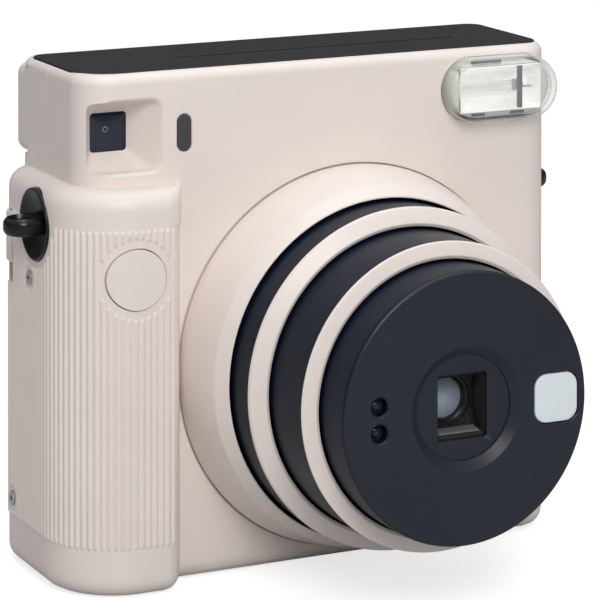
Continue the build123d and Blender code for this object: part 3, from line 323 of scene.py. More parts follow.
class Nodes:
    """Small helper that adds and links the shader nodes of a material or a world."""

    def __init__(self, owner, shader="Principled BSDF"):
        owner.use_nodes = True
        self.owner = owner
        self.tree = owner.node_tree
        self.shader = self.tree.nodes[shader]
        self.place = self.add("ShaderNodeTexCoord").outputs["Object"]

    def set(self, **values):
        """Fixed inputs of the shader; an underscore stands for the space in an input's name."""
        for key, value in values.items():
            self.shader.inputs[key.replace("_", " ")].default_value = value

    def drive(self, key, output):
        self.tree.links.new(output, self.shader.inputs[key])

    def add(self, kind, **settings):
        node = self.tree.nodes.new(kind)
        for key, value in settings.items():
            if hasattr(node, key):
                setattr(node, key, value)
            else:
                node.inputs[key].default_value = value
        return node

    def link(self, output, target):
        self.tree.links.new(output, target)

    def noise(self, size_mm, detail=2.0, stretch=None):
        """Noise whose features are about size_mm across."""
        source = self.place
        if stretch:
            mapping = self.add("ShaderNodeMapping", Scale=stretch)
            self.link(self.place, mapping.inputs["Vector"])
            source = mapping.outputs["Vector"]
        node = self.add("ShaderNodeTexNoise", Scale=1000 / size_mm, Detail=detail)
        self.link(source, node.inputs["Vector"])
        return node.outputs["Fac"]

    def remap(self, source, low=0.3, high=0.7, out_low=0.0, out_high=1.0):
        """Stretches a value; as given, it spreads a noise over the full range."""
        ends = {"From Min": low, "From Max": high, "To Min": out_low, "To Max": out_high}
        node = self.add("ShaderNodeMapRange", **ends)
        self.link(source, node.inputs["Value"])
        return node.outputs["Result"]

    def mix(self, factor, first, second, kind="RGBA"):
        """Blend of two colours or plain values, each fixed or another node's output."""
        targets, result = {"RGBA": ((0, 6, 7), 2), "FLOAT": ((0, 2, 3), 0)}[kind]
        node = self.add("ShaderNodeMix", data_type=kind)
        for value, target in zip((factor, first, second), targets):
            if isinstance(value, bpy.types.NodeSocket):
                self.link(value, node.inputs[target])
            else:
                node.inputs[target].default_value = value
        return node.outputs[result]

    def bump(self, height, strength, distance_mm):
        node = self.add("ShaderNodeBump", Strength=strength, Distance=distance_mm * MM)
        self.link(height, node.inputs["Height"])
        self.drive("Normal", node.outputs["Normal"])


def linear(red, green, blue):
    """Scene-linear colour from an 8-bit display colour."""
    out = []
    for c in (red, green, blue):
        c = c / 255
        out.append(c / 12.92 if c <= 0.04045 else ((c + 0.055) / 1.055) ** 2.4)
    return (*out, 1.0)


def scaled(color, factor):
    return (*(min(1.0, c * factor) for c in color[:3]), 1.0)


def moulded(name, color, roughness, grain_mm=0.16, grain=0.12, mottle=0.05, edge_lightening=0.10, coat=0.0,
            specular=0.5, tint=WHITE):
    """Moulded plastic: spark-eroded grain, faint colour mottling, and convex edges made lighter."""
    n = Nodes(bpy.data.materials.new(name))
    cloud = n.remap(n.noise(14.0, detail=3.0))
    tone = n.mix(cloud, scaled(color, 1 - mottle), scaled(color, 1 + mottle * 0.6))
    speck = n.remap(n.noise(0.45, detail=1.0), 0.35, 0.75, 0.0, 0.10)
    tone = n.mix(speck, tone, scaled(color, 1 - 2 * mottle))
    edges = n.add("ShaderNodeNewGeometry").outputs["Pointiness"]
    # Convex edges, found by their pointiness, are blended towards a tone 35 % lighter.
    tone = n.mix(n.remap(edges, 0.52, 0.60, 0.0, edge_lightening), tone, scaled(color, 1.35))
    n.drive("Base Color", tone)
    smear = n.noise(30.0, detail=4.0)
    n.drive("Roughness", n.remap(smear, 0.3, 0.7, roughness - 0.05, roughness + 0.06))
    n.set(Specular_IOR_Level=specular, Specular_Tint=tint, Coat_Weight=coat, Coat_Roughness=0.12)
    n.bump(n.noise(grain_mm), grain, 0.03)
    return n.owner


def metal(name, color, roughness, stretch=(1, 12, 12), grain=0.25, metallic=1.0, painted_glow=0.0):
    """Drawn or turned metal: fine scratches along one way and small stains."""
    n = Nodes(bpy.data.materials.new(name))
    lines = n.noise(0.5, detail=4.0, stretch=stretch)
    stain = n.remap(n.noise(5.0, detail=3.0))
    tone = n.mix(stain, scaled(color, 0.86), scaled(color, 1.06))
    tone = n.mix(n.remap(lines, 0.4, 0.6, 0.0, 0.25), tone, scaled(color, 0.7))
    n.drive("Base Color", tone)
    # Emission of the metal's own tone, at the strength given, makes it glow: a painted reflection of bright
    # light.
    n.drive("Emission Color", tone)
    n.set(Metallic=metallic, Emission_Strength=painted_glow)
    n.drive("Roughness", n.remap(lines, 0.3, 0.7, roughness - 0.06, roughness + 0.10))
    n.bump(lines, grain, 0.02)
    return n.owner


def glassy(name, color, roughness=0.03, ior=1.49, transmission=1.0, coat_tint=None, opacity=1.0):
    """Clear or tinted moulded window with a faint haze and tiny waviness."""
    n = Nodes(bpy.data.materials.new(name))
    haze = n.noise(6.0, detail=3.0)
    n.drive("Base Color", n.mix(n.remap(haze), color, scaled(color, 0.96)))
    n.set(Transmission_Weight=transmission, IOR=ior)
    if opacity < 1:
        facing_away = n.add("ShaderNodeLayerWeight").outputs["Facing"]
        n.drive("Alpha", n.remap(facing_away, 0.35, 0.85, opacity, 0.8))
    n.drive("Roughness", n.remap(haze, 0.3, 0.7, roughness, roughness + 0.03))
    if coat_tint:
        n.set(Specular_Tint=coat_tint, Coat_Weight=0.6, Coat_Tint=coat_tint)
    n.bump(n.noise(2.5, detail=1.0), 0.05, 0.02)
    return n.owner


CREAM = linear(234, 223, 217)
CHARCOAL = linear(12, 22, 37)
FACE_DARK = linear(37, 41, 50)
BLACK_TOP = linear(38, 38, 40)

cream = moulded("cream_shell", CREAM, 0.42, grain_mm=0.22, grain=0.10, mottle=0.02, edge_lightening=0.05)
charcoal = moulded("charcoal_barrel", CHARCOAL, 0.36, grain_mm=0.10, grain=0.08, mottle=0.06, edge_lightening=0.05,
                   specular=0.13, tint=(0.45, 0.68, 1.0, 1.0))
face_dark = moulded("charcoal_face", FACE_DARK, 0.38, grain_mm=0.14, grain=0.14, edge_lightening=0.2,
                    specular=0.30)
black_top = moulded("black_top", BLACK_TOP, 0.45, grain_mm=0.25, grain=0.30, mottle=0.08, edge_lightening=0.2,
                    specular=0.30)
inner_black = moulded("inner_black", linear(26, 26, 28), 0.55, grain_mm=0.2, grain=0.2, mottle=0.1)
inner_grey = moulded("inner_grey", linear(118, 120, 122), 0.5, grain_mm=0.25, grain=0.15)
black_gloss = moulded("black_gloss", linear(22, 22, 25), 0.30, grain_mm=0.4, grain=0.03, mottle=0.1,
                      specular=0.4)
clear = glassy("clear_cover", (0.86, 0.88, 0.83, 1.0), roughness=0.08, transmission=0.0, opacity=0.10)
dark_glass = glassy("dark_window", (0.03, 0.04, 0.07, 1.0), roughness=0.03, transmission=0.5)
# The lens glass is mostly an opaque silver-grey; that grey is a painted reflection of the studio in the
# glass.
lens_glass = glassy("lens_glass", (0.52, 0.55, 0.60, 1.0), roughness=0.10, ior=1.6, transmission=0.2,
                    coat_tint=(0.75, 0.85, 1.0, 1.0))
steel = metal("turned_steel", (0.62, 0.62, 0.63, 1.0), 0.30)
spring = metal("spring_steel", (0.50, 0.51, 0.53, 1.0), 0.34)
bronze = metal("sintered_bronze", (0.60, 0.42, 0.22, 1.0), 0.45, stretch=(3, 3, 3))
motor_can = metal("motor_can", (0.58, 0.58, 0.58, 1.0), 0.36, stretch=(1, 3, 3))
rubber = moulded("roller_rubber", linear(34, 34, 35), 0.75, grain_mm=0.3, grain=0.5, mottle=0.15)
gear_white = moulded("gear_acetal", linear(228, 225, 212), 0.35, grain_mm=0.3, grain=0.05)
card = moulded("film_card", linear(232, 232, 228), 0.55, grain_mm=0.3, grain=0.15)
jacket = moulded("cell_jacket", linear(70, 76, 92), 0.35, grain_mm=0.4, grain=0.05, coat=0.3)
can_sleeve = moulded("capacitor_sleeve", linear(38, 42, 58), 0.3, grain_mm=0.4, grain=0.05, coat=0.3)

# ------------------------------------------------------------------ covers

RIB_PITCH = 1.6
RIB_HALF = 0.70
RIB_HEIGHT = 0.42
RIB_CLEAR_OF_SCREW, RIB_CLEAR_OF_BUTTON, RIB_CLEAR_OF_LUG = 2.6, 1.9, 1.3
RIB_LOW, RIB_HIGH = 11.0, 84.2
BUTTON = node_centre("shutter_button")
BUTTON_R = 7.0
LUG_Y, LUG_Z = -4.0, 82.7
LUG_HALF_Y, LUG_HALF_Z = 8.6, 8.5
EYE_X, EYE_R = 68.0, 2.7
SCREW_SPOTS = [(-0.6, 69.7), (10.6, 15.2)]
SCREW_HOLE_R = 1.75
GRIP_CORNERS = [
    (-33.4, FRONT_Y + 2, 0),
    (-38.1, GRIP_FRONT, 4.8),
    (GRIP_LEFT, GRIP_FRONT, 18.0),
    (-64.6, BACK_Y, 8.7),
    (-33.0, BACK_Y, 0),
]


def body_solid(name, inset=0.0):
    """The box part of the camera with its rounded edges, optionally a little smaller all round."""
    corners = [
        (BODY_LEFT, FRONT_Y, 8.5), (BODY_RIGHT, FRONT_Y, 8.0),
        (BODY_RIGHT, BACK_Y, 5.0), (BODY_LEFT, BACK_Y, 5.0),
    ]
    levels = [(min(max(z, inset), HEIGHT - inset), outset - inset)
              for z, outset in rounded_levels(0, HEIGHT, 4.0, 2.5)]
    return prism(name, fillet_path(corners, step=0.6), levels, upright)


def gaps_on_rib(spot):
    """Stretches of height where the rib at that place on the grip is interrupted."""
    gaps = []
    away = spot.x - BUTTON.x
    bare = BUTTON_R + RIB_CLEAR_OF_BUTTON
    if spot.y < FRONT_Y and abs(away) < bare:
        half = math.sqrt(bare**2 - away**2)
        gaps.append((BUTTON.z - half, BUTTON.z + half))
    if spot.x < BODY_LEFT:
        along = (spot.y - LUG_Y) / (LUG_HALF_Y + RIB_CLEAR_OF_LUG)
        if abs(along) < 1:
            half = (LUG_HALF_Z + RIB_CLEAR_OF_LUG) * math.sqrt(1 - along**2)
            gaps.append((LUG_Z - half, LUG_Z + half))
        for y, z in SCREW_SPOTS:
            if abs(spot.y - y) < RIB_CLEAR_OF_SCREW:
                half = math.sqrt(RIB_CLEAR_OF_SCREW**2 - (spot.y - y) ** 2)
                gaps.append((z - half, z + half))
    return sorted(gaps)


def rib_stretches(spot):
    start, out = RIB_LOW, []
    for low, high in gaps_on_rib(spot):
        out.append((start, low))
        start = max(start, high)
    out.append((start, RIB_HIGH))
    return [(a, b) for a, b in out if b - a > 2 * RIB_HALF]


def ribbed_grip(name):
    """The grip: a rounded column with a row of low half-round ribs that end in round tips."""
    coarse = anticlockwise(fillet_path(GRIP_CORNERS, step=0.5))
    path = []
    for i, p in enumerate(coarse):
        q = coarse[(i + 1) % len(coarse)]
        middle = (p + q) / 2
        ribbed = middle.x < -33.4 and middle.y < 14.0
        pieces = max(1, math.ceil((q - p).length / (RIB_PITCH / 8 if ribbed else 6)))
        path += [p.lerp(q, k / pieces) for k in range(pieces)]
    normals = normals_of(path)
    # At the top the step down to the body runs on in its own plane and ends in a point
    slide = Vector((-0.468, -1.0))
    top_normals = [slide if p.x > -41.4 and p.y < FRONT_Y + 3 else n for p, n in zip(path, normals)]
    walked, total = [], 0.0
    for i, p in enumerate(path):
        walked.append(total)
        total += (path[(i + 1) % len(path)] - p).length
    zone = [i for i, p in enumerate(path) if p.x < -39.0 and p.y < 13.5]
    first = walked[zone[0]]
    ribs = {}
    for i in zone:
        number = round((walked[i] - first) / RIB_PITCH)
        offset = walked[i] - first - number * RIB_PITCH
        if number not in ribs or abs(offset) < abs(ribs[number][0]):
            ribs[number] = (offset, path[i])
    stretches = {number: rib_stretches(spot) for number, (_, spot) in ribs.items()}

    def lift(i, z):
        number = round((walked[i] - first) / RIB_PITCH)
        across = walked[i] - first - number * RIB_PITCH
        best = 0.0
        for low, high in stretches.get(number, ()):
            beyond = max(0.0, low + RIB_HALF - z, z - (high - RIB_HALF))
            reach = math.hypot(across, beyond) / RIB_HALF
            if reach < 1:
                best = max(best, 0.5 + 0.5 * math.cos(math.pi * reach))
        return RIB_HEIGHT * best

    heights = rounded_levels(0, GRIP_TOP, 4.0, 4.5)
    low_rim, high_rim = heights[:6], heights[6:]
    # Rows of points lie close together only where ribs end: at the rims, the screw and the button
    rows = [6.0, 9.0] + [RIB_LOW - 0.2 + 0.2 * k for k in range(9)]
    rows += [16.0, 17.0] + [17.2 + 0.4 * k for k in range(15)] + [25.0, 35.0, 45.0, 55.0, 62.0]
    rows += [63.0 + 0.3 * k for k in range(73)] + [86.5]
    levels = low_rim + [(z, 0.0) for z in rows] + high_rim
    zone = set(zone)
    rings = []
    for z, outset in levels:
        ring = []
        for i, (p, n) in enumerate(zip(path, top_normals if z > RIB_HIGH else normals)):
            raised = lift(i, z) if i in zone and RIB_LOW <= z <= RIB_HIGH else 0.0
            ring.append((*(p + n * (outset - RIB_HEIGHT + raised)), z))
        rings.append(ring)
    return skin(name, rings)


def slot_path(cx, cy, width, height, step=0.3):
    return box_path(cx, cy, width, height, min(width, height) / 2 - 0.001, step)


def rectangle_loop(cx, cz, width, height, radius, depth, per_corner=8):
    """Rounded rectangle with a fixed number of points, facing the front."""
    w, h = width / 2 - radius, height / 2 - radius
    out = []
    for quarter, (sx, sz) in enumerate(((1, 1), (-1, 1), (-1, -1), (1, -1))):
        for k in range(per_corner + 1):
            a = math.pi / 2 * (quarter + k / per_corner)
            out.append((cx + sx * w + radius * math.cos(a), depth, cz + sz * h + radius * math.sin(a)))
    return out


FINDER = node_centre("viewfinder_front_lens")
FINDER_MOUTH_X, FINDER_MOUTH_Z = -48.35, 104.1
FINDER_W, FINDER_H = 18.1, 17.05
FINDER_WALLS_Y = -19.2
FINDER_STRAIGHT = 0.3
FINDER_GLASS, FINDER_GLASS_Y = 9.1, -12.0
EYEPIECE_Z = 106.05
SENSOR_WINDOW = node_centre("light_sensor_window")
FLASH_LOW, FLASH_HIGH = node_box("flash_window")
FLASH = (FLASH_LOW + FLASH_HIGH) / 2
FLASH_W, FLASH_H = FLASH_HIGH.x - FLASH_LOW.x, FLASH_HIGH.z - FLASH_LOW.z
PLATE_LOW, PLATE_HIGH = node_box("top_plate")
SLOT_LEFT, SLOT_RIGHT = -28.7, 47.1
SLOT_FRONT, SLOT_BACK = -2.0, 1.0
SLOT = ((SLOT_LEFT + SLOT_RIGHT) / 2, (SLOT_FRONT + SLOT_BACK) / 2,
        SLOT_RIGHT - SLOT_LEFT, SLOT_BACK - SLOT_FRONT)
DOOR_LOW, DOOR_HIGH = node_box("film_door")
DOOR = node_centre("film_door")
BATTERY_DOOR = node_centre("battery_door")
COUNTER = node_centre("counter_window")
FAR_FRONT, FAR_BACK = -60, 30


def flash_outline(narrower, lower, step=0.25):
    """Outline of the flash cover, or of a part of it, that much smaller than the CAD node."""
    return slot_path(FLASH.x + 0.6, FLASH.z - 0.25, FLASH_W - narrower, FLASH_H - lower, step)


def finder_funnel():
    """Tool for the viewfinder's mouth: a rounded rim, walls that run straight and then close in."""
    stations = [(-24.0, 3.0), (-20.7, 1.5), (-20.25, 0.75), (-19.9, 0.25), (-19.4, -0.25)]
    loops = []
    for depth, outset in stations:
        loops.append(rectangle_loop(
            FINDER_MOUTH_X, FINDER_MOUTH_Z, FINDER_W + 2 * outset, FINDER_H + 2 * outset,
            2.5 + max(0, outset), depth,
        ))
    mouth = (FINDER_MOUTH_X, FINDER_MOUTH_Z, FINDER_W - 0.6, FINDER_H - 0.6)
    glass = (FINDER.x, FINDER.z, FINDER_GLASS, FINDER_GLASS)
    for k in range(1, 9):
        t = k / 8
        late = max(0.0, (t - FINDER_STRAIGHT) / (1 - FINDER_STRAIGHT))
        right = (1 - t) * (mouth[0] + mouth[2] / 2) + t * (glass[0] + glass[2] / 2)
        left = (1 - late) * (mouth[0] - mouth[2] / 2) + late * (glass[0] - glass[2] / 2)
        middle = (1 - late) * mouth[1] + late * glass[1]
        height = (1 - late) * mouth[3] + late * glass[3]
        loops.append(rectangle_loop(
            (left + right) / 2, middle, right - left, height, 2.5 - 1.6 * t,
            FINDER_WALLS_Y + (FINDER_GLASS_Y - FINDER_WALLS_Y) * t))
    return skin("finder_tool", loops)


def plate_path(grow=0.0):
    corners = [
        (PLATE_LOW.x - grow, PLATE_LOW.y - grow, 9.5), (PLATE_HIGH.x + grow, PLATE_LOW.y - grow, 6.0),
        (PLATE_HIGH.x + grow, PLATE_HIGH.y + grow, 4.0), (PLATE_LOW.x - grow, PLATE_HIGH.y + grow, 4.0),
    ]
    return fillet_path(corners, step=0.4)


def shared_tools():
    """Pockets that both covers share: the top recess and the strap lug seats."""
    tools = [prism("recess", plate_path(0.12), [(PLATE_LOW.z - 0.02, 0), (HEIGHT + 3, 0)], upright)]
    for side in (-1, 1):
        seat = circle_path(LUG_Y, LUG_Z, LUG_HALF_Y, LUG_HALF_Z, 96)
        rim = side * BODY_RIGHT
        tools.append(prism("seat", seat, [
            (rim - side * 5.2, 0.08), (rim - side * 0.75, 0.08), (rim - side * 0.3, 0.25),
            (rim + side * 0.05, 0.75), (rim + side * 8, 0.9),
        ], sideways))
    return tools


def screw_tools():
    tools = []
    for side in (-1, 1):
        for y, z in SCREW_SPOTS:
            tools.append(prism("hole", circle_path(y, z, SCREW_HOLE_R, segments=32), [
                (side * (BODY_RIGHT - 1.32), 0), (side * (BODY_RIGHT + 3), 0)], sideways))
    for x, y in ((-20.0, -10.0), (55.0, -10.0)):
        tools.append(prism("hole", circle_path(x, y, SCREW_HOLE_R, segments=32),
                           [(-3, 0), (1.02, 0)], upright))
    return tools


def cavity_tool():
    """The hollow inside the covers, leaving solid plastic round the viewfinder funnel."""
    corners = [
        (BODY_LEFT + WALL, FRONT_Y + WALL, 9.0), (BODY_RIGHT - WALL, FRONT_Y + WALL, 6.0),
        (BODY_RIGHT - WALL, BACK_Y - 4, 1.0), (BODY_LEFT + WALL, BACK_Y - 4, 1.0),
    ]
    hollow = prism("hollow", fillet_path(corners), [(WALL, 0), (CEILING, 0)], upright)
    boss = prism("boss", box_path(FINDER_MOUTH_X, FINDER_MOUTH_Z, 22.5, 24.0, 1.0),
                 [(-30, 0), (-10.8, 0)])
    cut(hollow, boss)
    grip = [
        (-36.5, FRONT_Y + 1.5, 0), (-43.4, GRIP_FRONT + 2.4, 3.0), (GRIP_LEFT + 2.4, GRIP_FRONT + 2.4, 15.5),
        (-62.3, BACK_Y - 4, 3.0), (-36.5, BACK_Y - 4, 0),
    ]
    return merge(hollow, prism(
        "grip_hollow", fillet_path(grip), [(WALL, 0), (GRIP_TOP - 2.4 * WALL, 0)], upright))


def seam_groove(name):
    """Fine groove where the covers meet, round everything but the grip."""
    path = [Vector(p) for p in ((-63, 93.2), (-30, 93.2), (-30, -3), (70, -3), (70, 122), (-63, 122))]
    band = prism(name, path, [(SEAM_Y - 0.13, 0), (SEAM_Y + 0.13, 0)])
    return cut(band, body_solid("core", 0.28))


def covers():
    outer = merge(body_solid("outer"), ribbed_grip("grip"))
    rear = keep_side(copy_of(outer, "rear_shell"), SEAM_Y, front=False)
    front = keep_side(outer, SEAM_Y, front=True)
    front.name = "front_shell"
    hollow = cavity_tool()
    cut(rear, copy_of(hollow, "hollow_too"))
    tick = prism("tick", box_path(LENS_X - 0.4, 94.9, 0.4, 1.5, 0.15, 0.1),
                 [(FRONT_Y + 0.5, 0), (FRONT_Y - 0.10, 0), (FRONT_Y - 0.16, -0.06)])
    merge(front, tick)
    cut(
        front,
        hollow,
        prism("gap", circle_path(LENS_X, LENS_Z, RING_R + 0.32, segments=256),
              [(FAR_FRONT, 0), (FRONT_Y - 0.02, 0), (FRONT_Y + 0.7, 0)]),
        prism("throat", circle_path(LENS_X, LENS_Z, THROAT_R, segments=256),
              [(FAR_FRONT, 0), (-10, 0)]),
        finder_funnel(),
        prism("finder_seat", box_path(FINDER.x, FINDER.z, 10.7, 10.7, 0.8),
              [(FINDER_GLASS_Y - 0.02, 0), (-8, 0)]),
        prism("sensor_hole", slot_path(SENSOR_WINDOW.x, SENSOR_WINDOW.z, 3.5, 8.6),
              [(-23, 0.3), (FRONT_Y - 0.02, 0.3), (FRONT_Y + 0.3, 0), (-16.5, 0)]),
        prism("flash_hole", flash_outline(1.0, 0.4, 0.3),
              [(FAR_FRONT, 0), (FLASH_HIGH.y + 0.1, 0)]),
        prism("button_hole", circle_path(BUTTON.x, BUTTON.z, BUTTON_R + 0.2),
              [(FAR_FRONT, 0), (-22, 0)]),
        prism("button_seat", circle_path(BUTTON.x, BUTTON.z, BUTTON_R + 0.9),
              [(GRIP_FRONT + 3.4, 0), (-17, 0)]),
        prism("battery_hole", box_path(BATTERY_DOOR.x, BATTERY_DOOR.y, 18.0, 18.0, 0.4),
              [(-3, 0), (6, 0)], upright),
        prism("exit", box_path(*SLOT, 0.5), [(HEIGHT - 6, 0), (HEIGHT + 5, 0)], upright),
        *shared_tools(),
        *screw_tools(),
        seam_groove("groove_front"),
    )
    cut(
        rear,
        seam_groove("groove_rear"),
        prism("door_hole", box_path(
            DOOR.x, DOOR.z, DOOR_HIGH.x - DOOR_LOW.x + 0.5, DOOR_HIGH.z - DOOR_LOW.z + 0.5, 2.0),
            [(14, 0), (BACK_Y - 0.25, 0), (BACK_Y + 0.02, 0.3), (FAR_BACK, 0.3)]),
        prism("eyepiece_seat", box_path(BODY_LEFT + 9.0, EYEPIECE_Z, 25.0, 21.4, 2.6),
              [(14.3, 0), (FAR_BACK, 0)]),
        prism("counter_hole", box_path(COUNTER.x, COUNTER.z, 6.4, 4.8, 1.0),
              [(14, 0), (BACK_Y - 0.3, 0), (BACK_Y + 0.02, 0.3), (FAR_BACK, 0.3)]),
        prism("latch_hole", box_path(-63.3, 75.0, 4.2, 17.4, 1.0), [(9.9, 0), (14.1, 0)]),
        *shared_tools(),
        *screw_tools(),
    )
    finish_piece(front, cream, ["front_cover"])
    finish_piece(rear, cream, ["rear_cover"])


def top_plate():
    plate = prism("top_inlay", plate_path(), rounded_levels(PLATE_LOW.z, PLATE_HIGH.z, 0.1, 0.25), upright)
    top = PLATE_HIGH.z
    cut(plate, prism("exit", box_path(*SLOT, 0.6, 0.15), [
        (PLATE_LOW.z - 2, 0), (top - 0.4, 0), (top + 0.02, 0.35), (top + 2, 0.4)], upright))
    finish_piece(plate, black_top, ["top_plate"])


def strap_lug(side):
    """Glossy dished plug with a flat loop that stands out of the flank."""
    rim = side * BODY_RIGHT
    stations = [(5.1, 1.0), (0.75, 1.0), (0.45, 0.985), (0.35, 0.95)]
    stations += [(0.35 + 2.3 * (1 - (s / 0.95) ** 2), s) for s in (0.9, 0.8, 0.65, 0.45, 0.25, 0.05)]
    rings = []
    for depth, size in stations:
        path = circle_path(LUG_Y, LUG_Z, LUG_HALF_Y * size, LUG_HALF_Z * size, 96)
        rings.append([sideways(*p, rim - side * depth) for p in path])
    dish = skin("lug", rings)
    outline = box_path(side * (EYE_X - 1.65), LUG_Y, 11.4, 8.8, 4.39, 0.3)
    loop = prism("loop", outline, rounded_levels(LUG_Z - 2.2, LUG_Z + 2.2, 1.7, 1.7), upright)
    eye = circle_path(side * EYE_X, LUG_Y, EYE_R, segments=64)
    cut(loop, prism("eye", eye, [
        (LUG_Z - 3, 0.9), (LUG_Z - 2.0, 0.55), (LUG_Z - 1.2, 0.05), (LUG_Z, 0),
        (LUG_Z + 1.2, 0.05), (LUG_Z + 2.0, 0.55), (LUG_Z + 3, 0.9)], upright))
    return merge(dish, loop)


def strap_lugs():
    lugs = joined("strap_lug_pair", [strap_lug(-1), strap_lug(1)])
    finish_piece(lugs, black_gloss, ["strap_lugs"], angle=50)


def eyepiece():
    low, high = node_box("eyepiece_surround")
    mid = (low + high) / 2
    levels = rounded_levels(low.y, high.y, 0.3, 2.6)
    path = box_path(mid.x, mid.z, high.x - low.x, high.z - low.z, 2.8, 0.3)
    frame_piece = prism("eyepiece_frame", path, levels)
    loops = [rectangle_loop(FINDER.x, FINDER.z, 17 - 1.7 * k, 16 - 1.5 * k, 3.4 - 0.55 * k,
                            high.y + 1.6 - 1.25 * k) for k in range(5)]
    cut(frame_piece, skin("eye_tool", loops),
        prism("eye_seat", box_path(FINDER.x, FINDER.z, 11.6, 11.6, 0.8),
              [(10, 0), (18.25, 0)]),
        prism("eye_gap", box_path(FINDER.x, FINDER.z, 9.6, 9.6, 0.8),
              [(10, 0), (19, 0)]))
    finish_piece(frame_piece, cream, ["eyepiece_surround"])


# ------------------------------------------------------------------ lens

# Inner radii of the shells, left open enough for the next one to slide through
BORES = {"outer_bezel": 35.35, "inner_bezel": 31.19, "outer_barrel": 35.4, "inner_barrel": 31.15}


def control_ring():
    front, back = RING_LOW.y, RING_HIGH.y
    profile = rounded_profile([
        (41.58, back, 0.1), (RING_R, back, 0.25), (RING_R - 0.25, back - 2.2, 4.0),
        (RING_R - 2.75, front + 3.4, 2.4), (RING_R - 4.7, front + 0.25, 0.6), (39.9, front, 0.2),
        (39.86, front + 2.2, 0.1), (41.58, front + 2.2, 0.1),
    ])
    ring = lathe("control_ring_shell", profile)
    finish_piece(ring, cream, ["control_ring"], "control_ring", angle=40)


def bezel(node, body, name):
    low, high = node_box(node)
    outer = (high.x - low.x) / 2
    inner = BORES[node]
    depth = high.y - low.y
    profile = rounded_profile([
        (inner + 0.2, high.y, 0.05), (outer - 0.25, high.y, 0.1), (outer, high.y - 0.12 * depth, 0.15),
        (outer - 0.25, high.y - 0.38 * depth, 0.5), (inner + 0.75, low.y, 0.45), (inner, low.y + 0.35, 0.15),
    ])
    finish_piece(lathe(name, profile), cream, [node], body, angle=40)


def barrel(node, body, name):
    low, high = node_box(node)
    outer = (high.x - low.x) / 2
    inner = BORES[node]
    profile = rounded_profile([
        (inner, high.y, 0.2), (outer, high.y, 0.4), (outer, low.y, 0.1), (inner, low.y, 0.1)])
    finish_piece(lathe(name, profile), charcoal, [node], body)


FACE_LOW, FACE_HIGH = node_box("front_barrel")
FACE_Y = FACE_LOW.y
FACE_R = (FACE_HIGH.x - FACE_LOW.x) / 2
MIRROR = node_centre("selfie_mirror")
MIRROR_SIZE = 11.0
SENSORS = [(node_centre("sensor_lenses").x, z) for z in (45.1, 51.05)]
SENSOR_R = 2.0
RECESS_R, RECESS_FLOOR_R, RECESS_DEPTH = 14.04, 11.75, 1.75
FUNNEL_W, FUNNEL_H = 15.0, 16.8
APERTURE_W, APERTURE_H = 12.4, 14.6
FACE_THICK = 2.5
FACE_BORE_R = 28.7


def front_barrel():
    floor = FACE_Y + RECESS_DEPTH
    inside = FACE_Y + FACE_THICK
    profile = rounded_profile([
        (FACE_BORE_R, FACE_HIGH.y, 0.2), (FACE_R, FACE_HIGH.y, 0.4), (FACE_R, FACE_Y, 1.0),
        (RECESS_R, FACE_Y, 0.5), (RECESS_FLOOR_R, floor, 0.3)])
    profile += [(0.0, floor), (0.0, inside), (FACE_BORE_R, inside)]
    barrel_piece = lathe("front_barrel_shell", profile)
    stations = [
        (FUNNEL_W + 1.6, FUNNEL_H + 1.6, 1.8, floor - 1.0),
        (FUNNEL_W + 0.35, FUNNEL_H + 0.35, 1.3, floor - 0.02),
        (FUNNEL_W - 0.3, FUNNEL_H - 0.4, 1.1, floor + 0.25),
        (APERTURE_W + 0.3, APERTURE_H + 0.3, 0.8, inside - 0.25),
        (APERTURE_W, APERTURE_H, 0.7, inside - 0.1),
        (APERTURE_W, APERTURE_H, 0.7, inside + 2),
    ]
    tools = [skin("funnel", [rectangle_loop(LENS_X, LENS_Z, *station) for station in stations])]
    tools.append(prism("mirror_seat", box_path(MIRROR.x, MIRROR.z, 11.3, 11.3, 3.1, 0.15), [
        (FACE_Y - 3, 0.3), (FACE_Y - 0.02, 0.3), (FACE_Y + 0.2, 0.05), (FACE_Y + 1.2, 0)]))
    for x, z in SENSORS:
        tools.append(prism("sensor_hole", circle_path(x, z, SENSOR_R, segments=48), [
            (FACE_Y - 3, 0.45), (FACE_Y - 0.02, 0.45), (FACE_Y + 0.45, 0.02), (FACE_Y + 5, 0)]))
    cut(barrel_piece, *tools)
    finish_piece(barrel_piece, charcoal, ["front_barrel"], "front_barrel", angle=30)
    barrel_piece.data.materials.append(face_dark)
    for polygon in barrel_piece.data.polygons:
        if abs(polygon.normal.y) > 0.35 and polygon.center.y < (FACE_Y + 4) * MM:
            polygon.material_index = 1


def domed_plate(name, centre, side, radius, low, high, dome, per_corner):
    """Square plate with rounded corners whose front bulges; dome lists size and depth steps."""
    loops = [rectangle_loop(centre.x, centre.z, side, side, radius, high.y, per_corner)]
    for size, depth in dome:
        loops.append(rectangle_loop(
            centre.x, centre.z, side * size, side * size, radius * size, low.y + depth, per_corner))
    return skin(name, loops)


def selfie_mirror():
    dome = ((1.0, 0.35), (0.99, 0.18), (0.965, 0.08), (0.85, 0.03), (0.6, 0.01), (0.3, 0.0), (0.05, 0.0))
    plate = domed_plate("mirror_plate", MIRROR, MIRROR_SIZE, 3.0, *node_box("selfie_mirror"), dome, 12)
    finish_piece(plate, mirror, ["selfie_mirror"], "front_barrel", angle=50)


def sensor_domes():
    low, high = node_box("sensor_lenses")
    radius, shoulder, height = 1.2, low.y + 0.9, 0.7
    pieces = []
    for x, z in SENSORS:
        profile = rounded_profile([
            (SENSOR_R, high.y, 0.1), (SENSOR_R, low.y + 1.2, 0.1), (radius + 0.05, shoulder, 0.1)])
        for k in range(8):
            a = math.pi / 2 * k / 8
            profile.append((radius * math.cos(a), shoulder - height * math.sin(a)))
        profile += [(0.0, shoulder - height), (0.0, high.y)]
        pieces.append(lathe("dome", profile, 48, (x, z)))
    finish_piece(joined("sensor_domes", pieces), dark_glass, ["sensor_lenses"],
                 "front_barrel", angle=50)


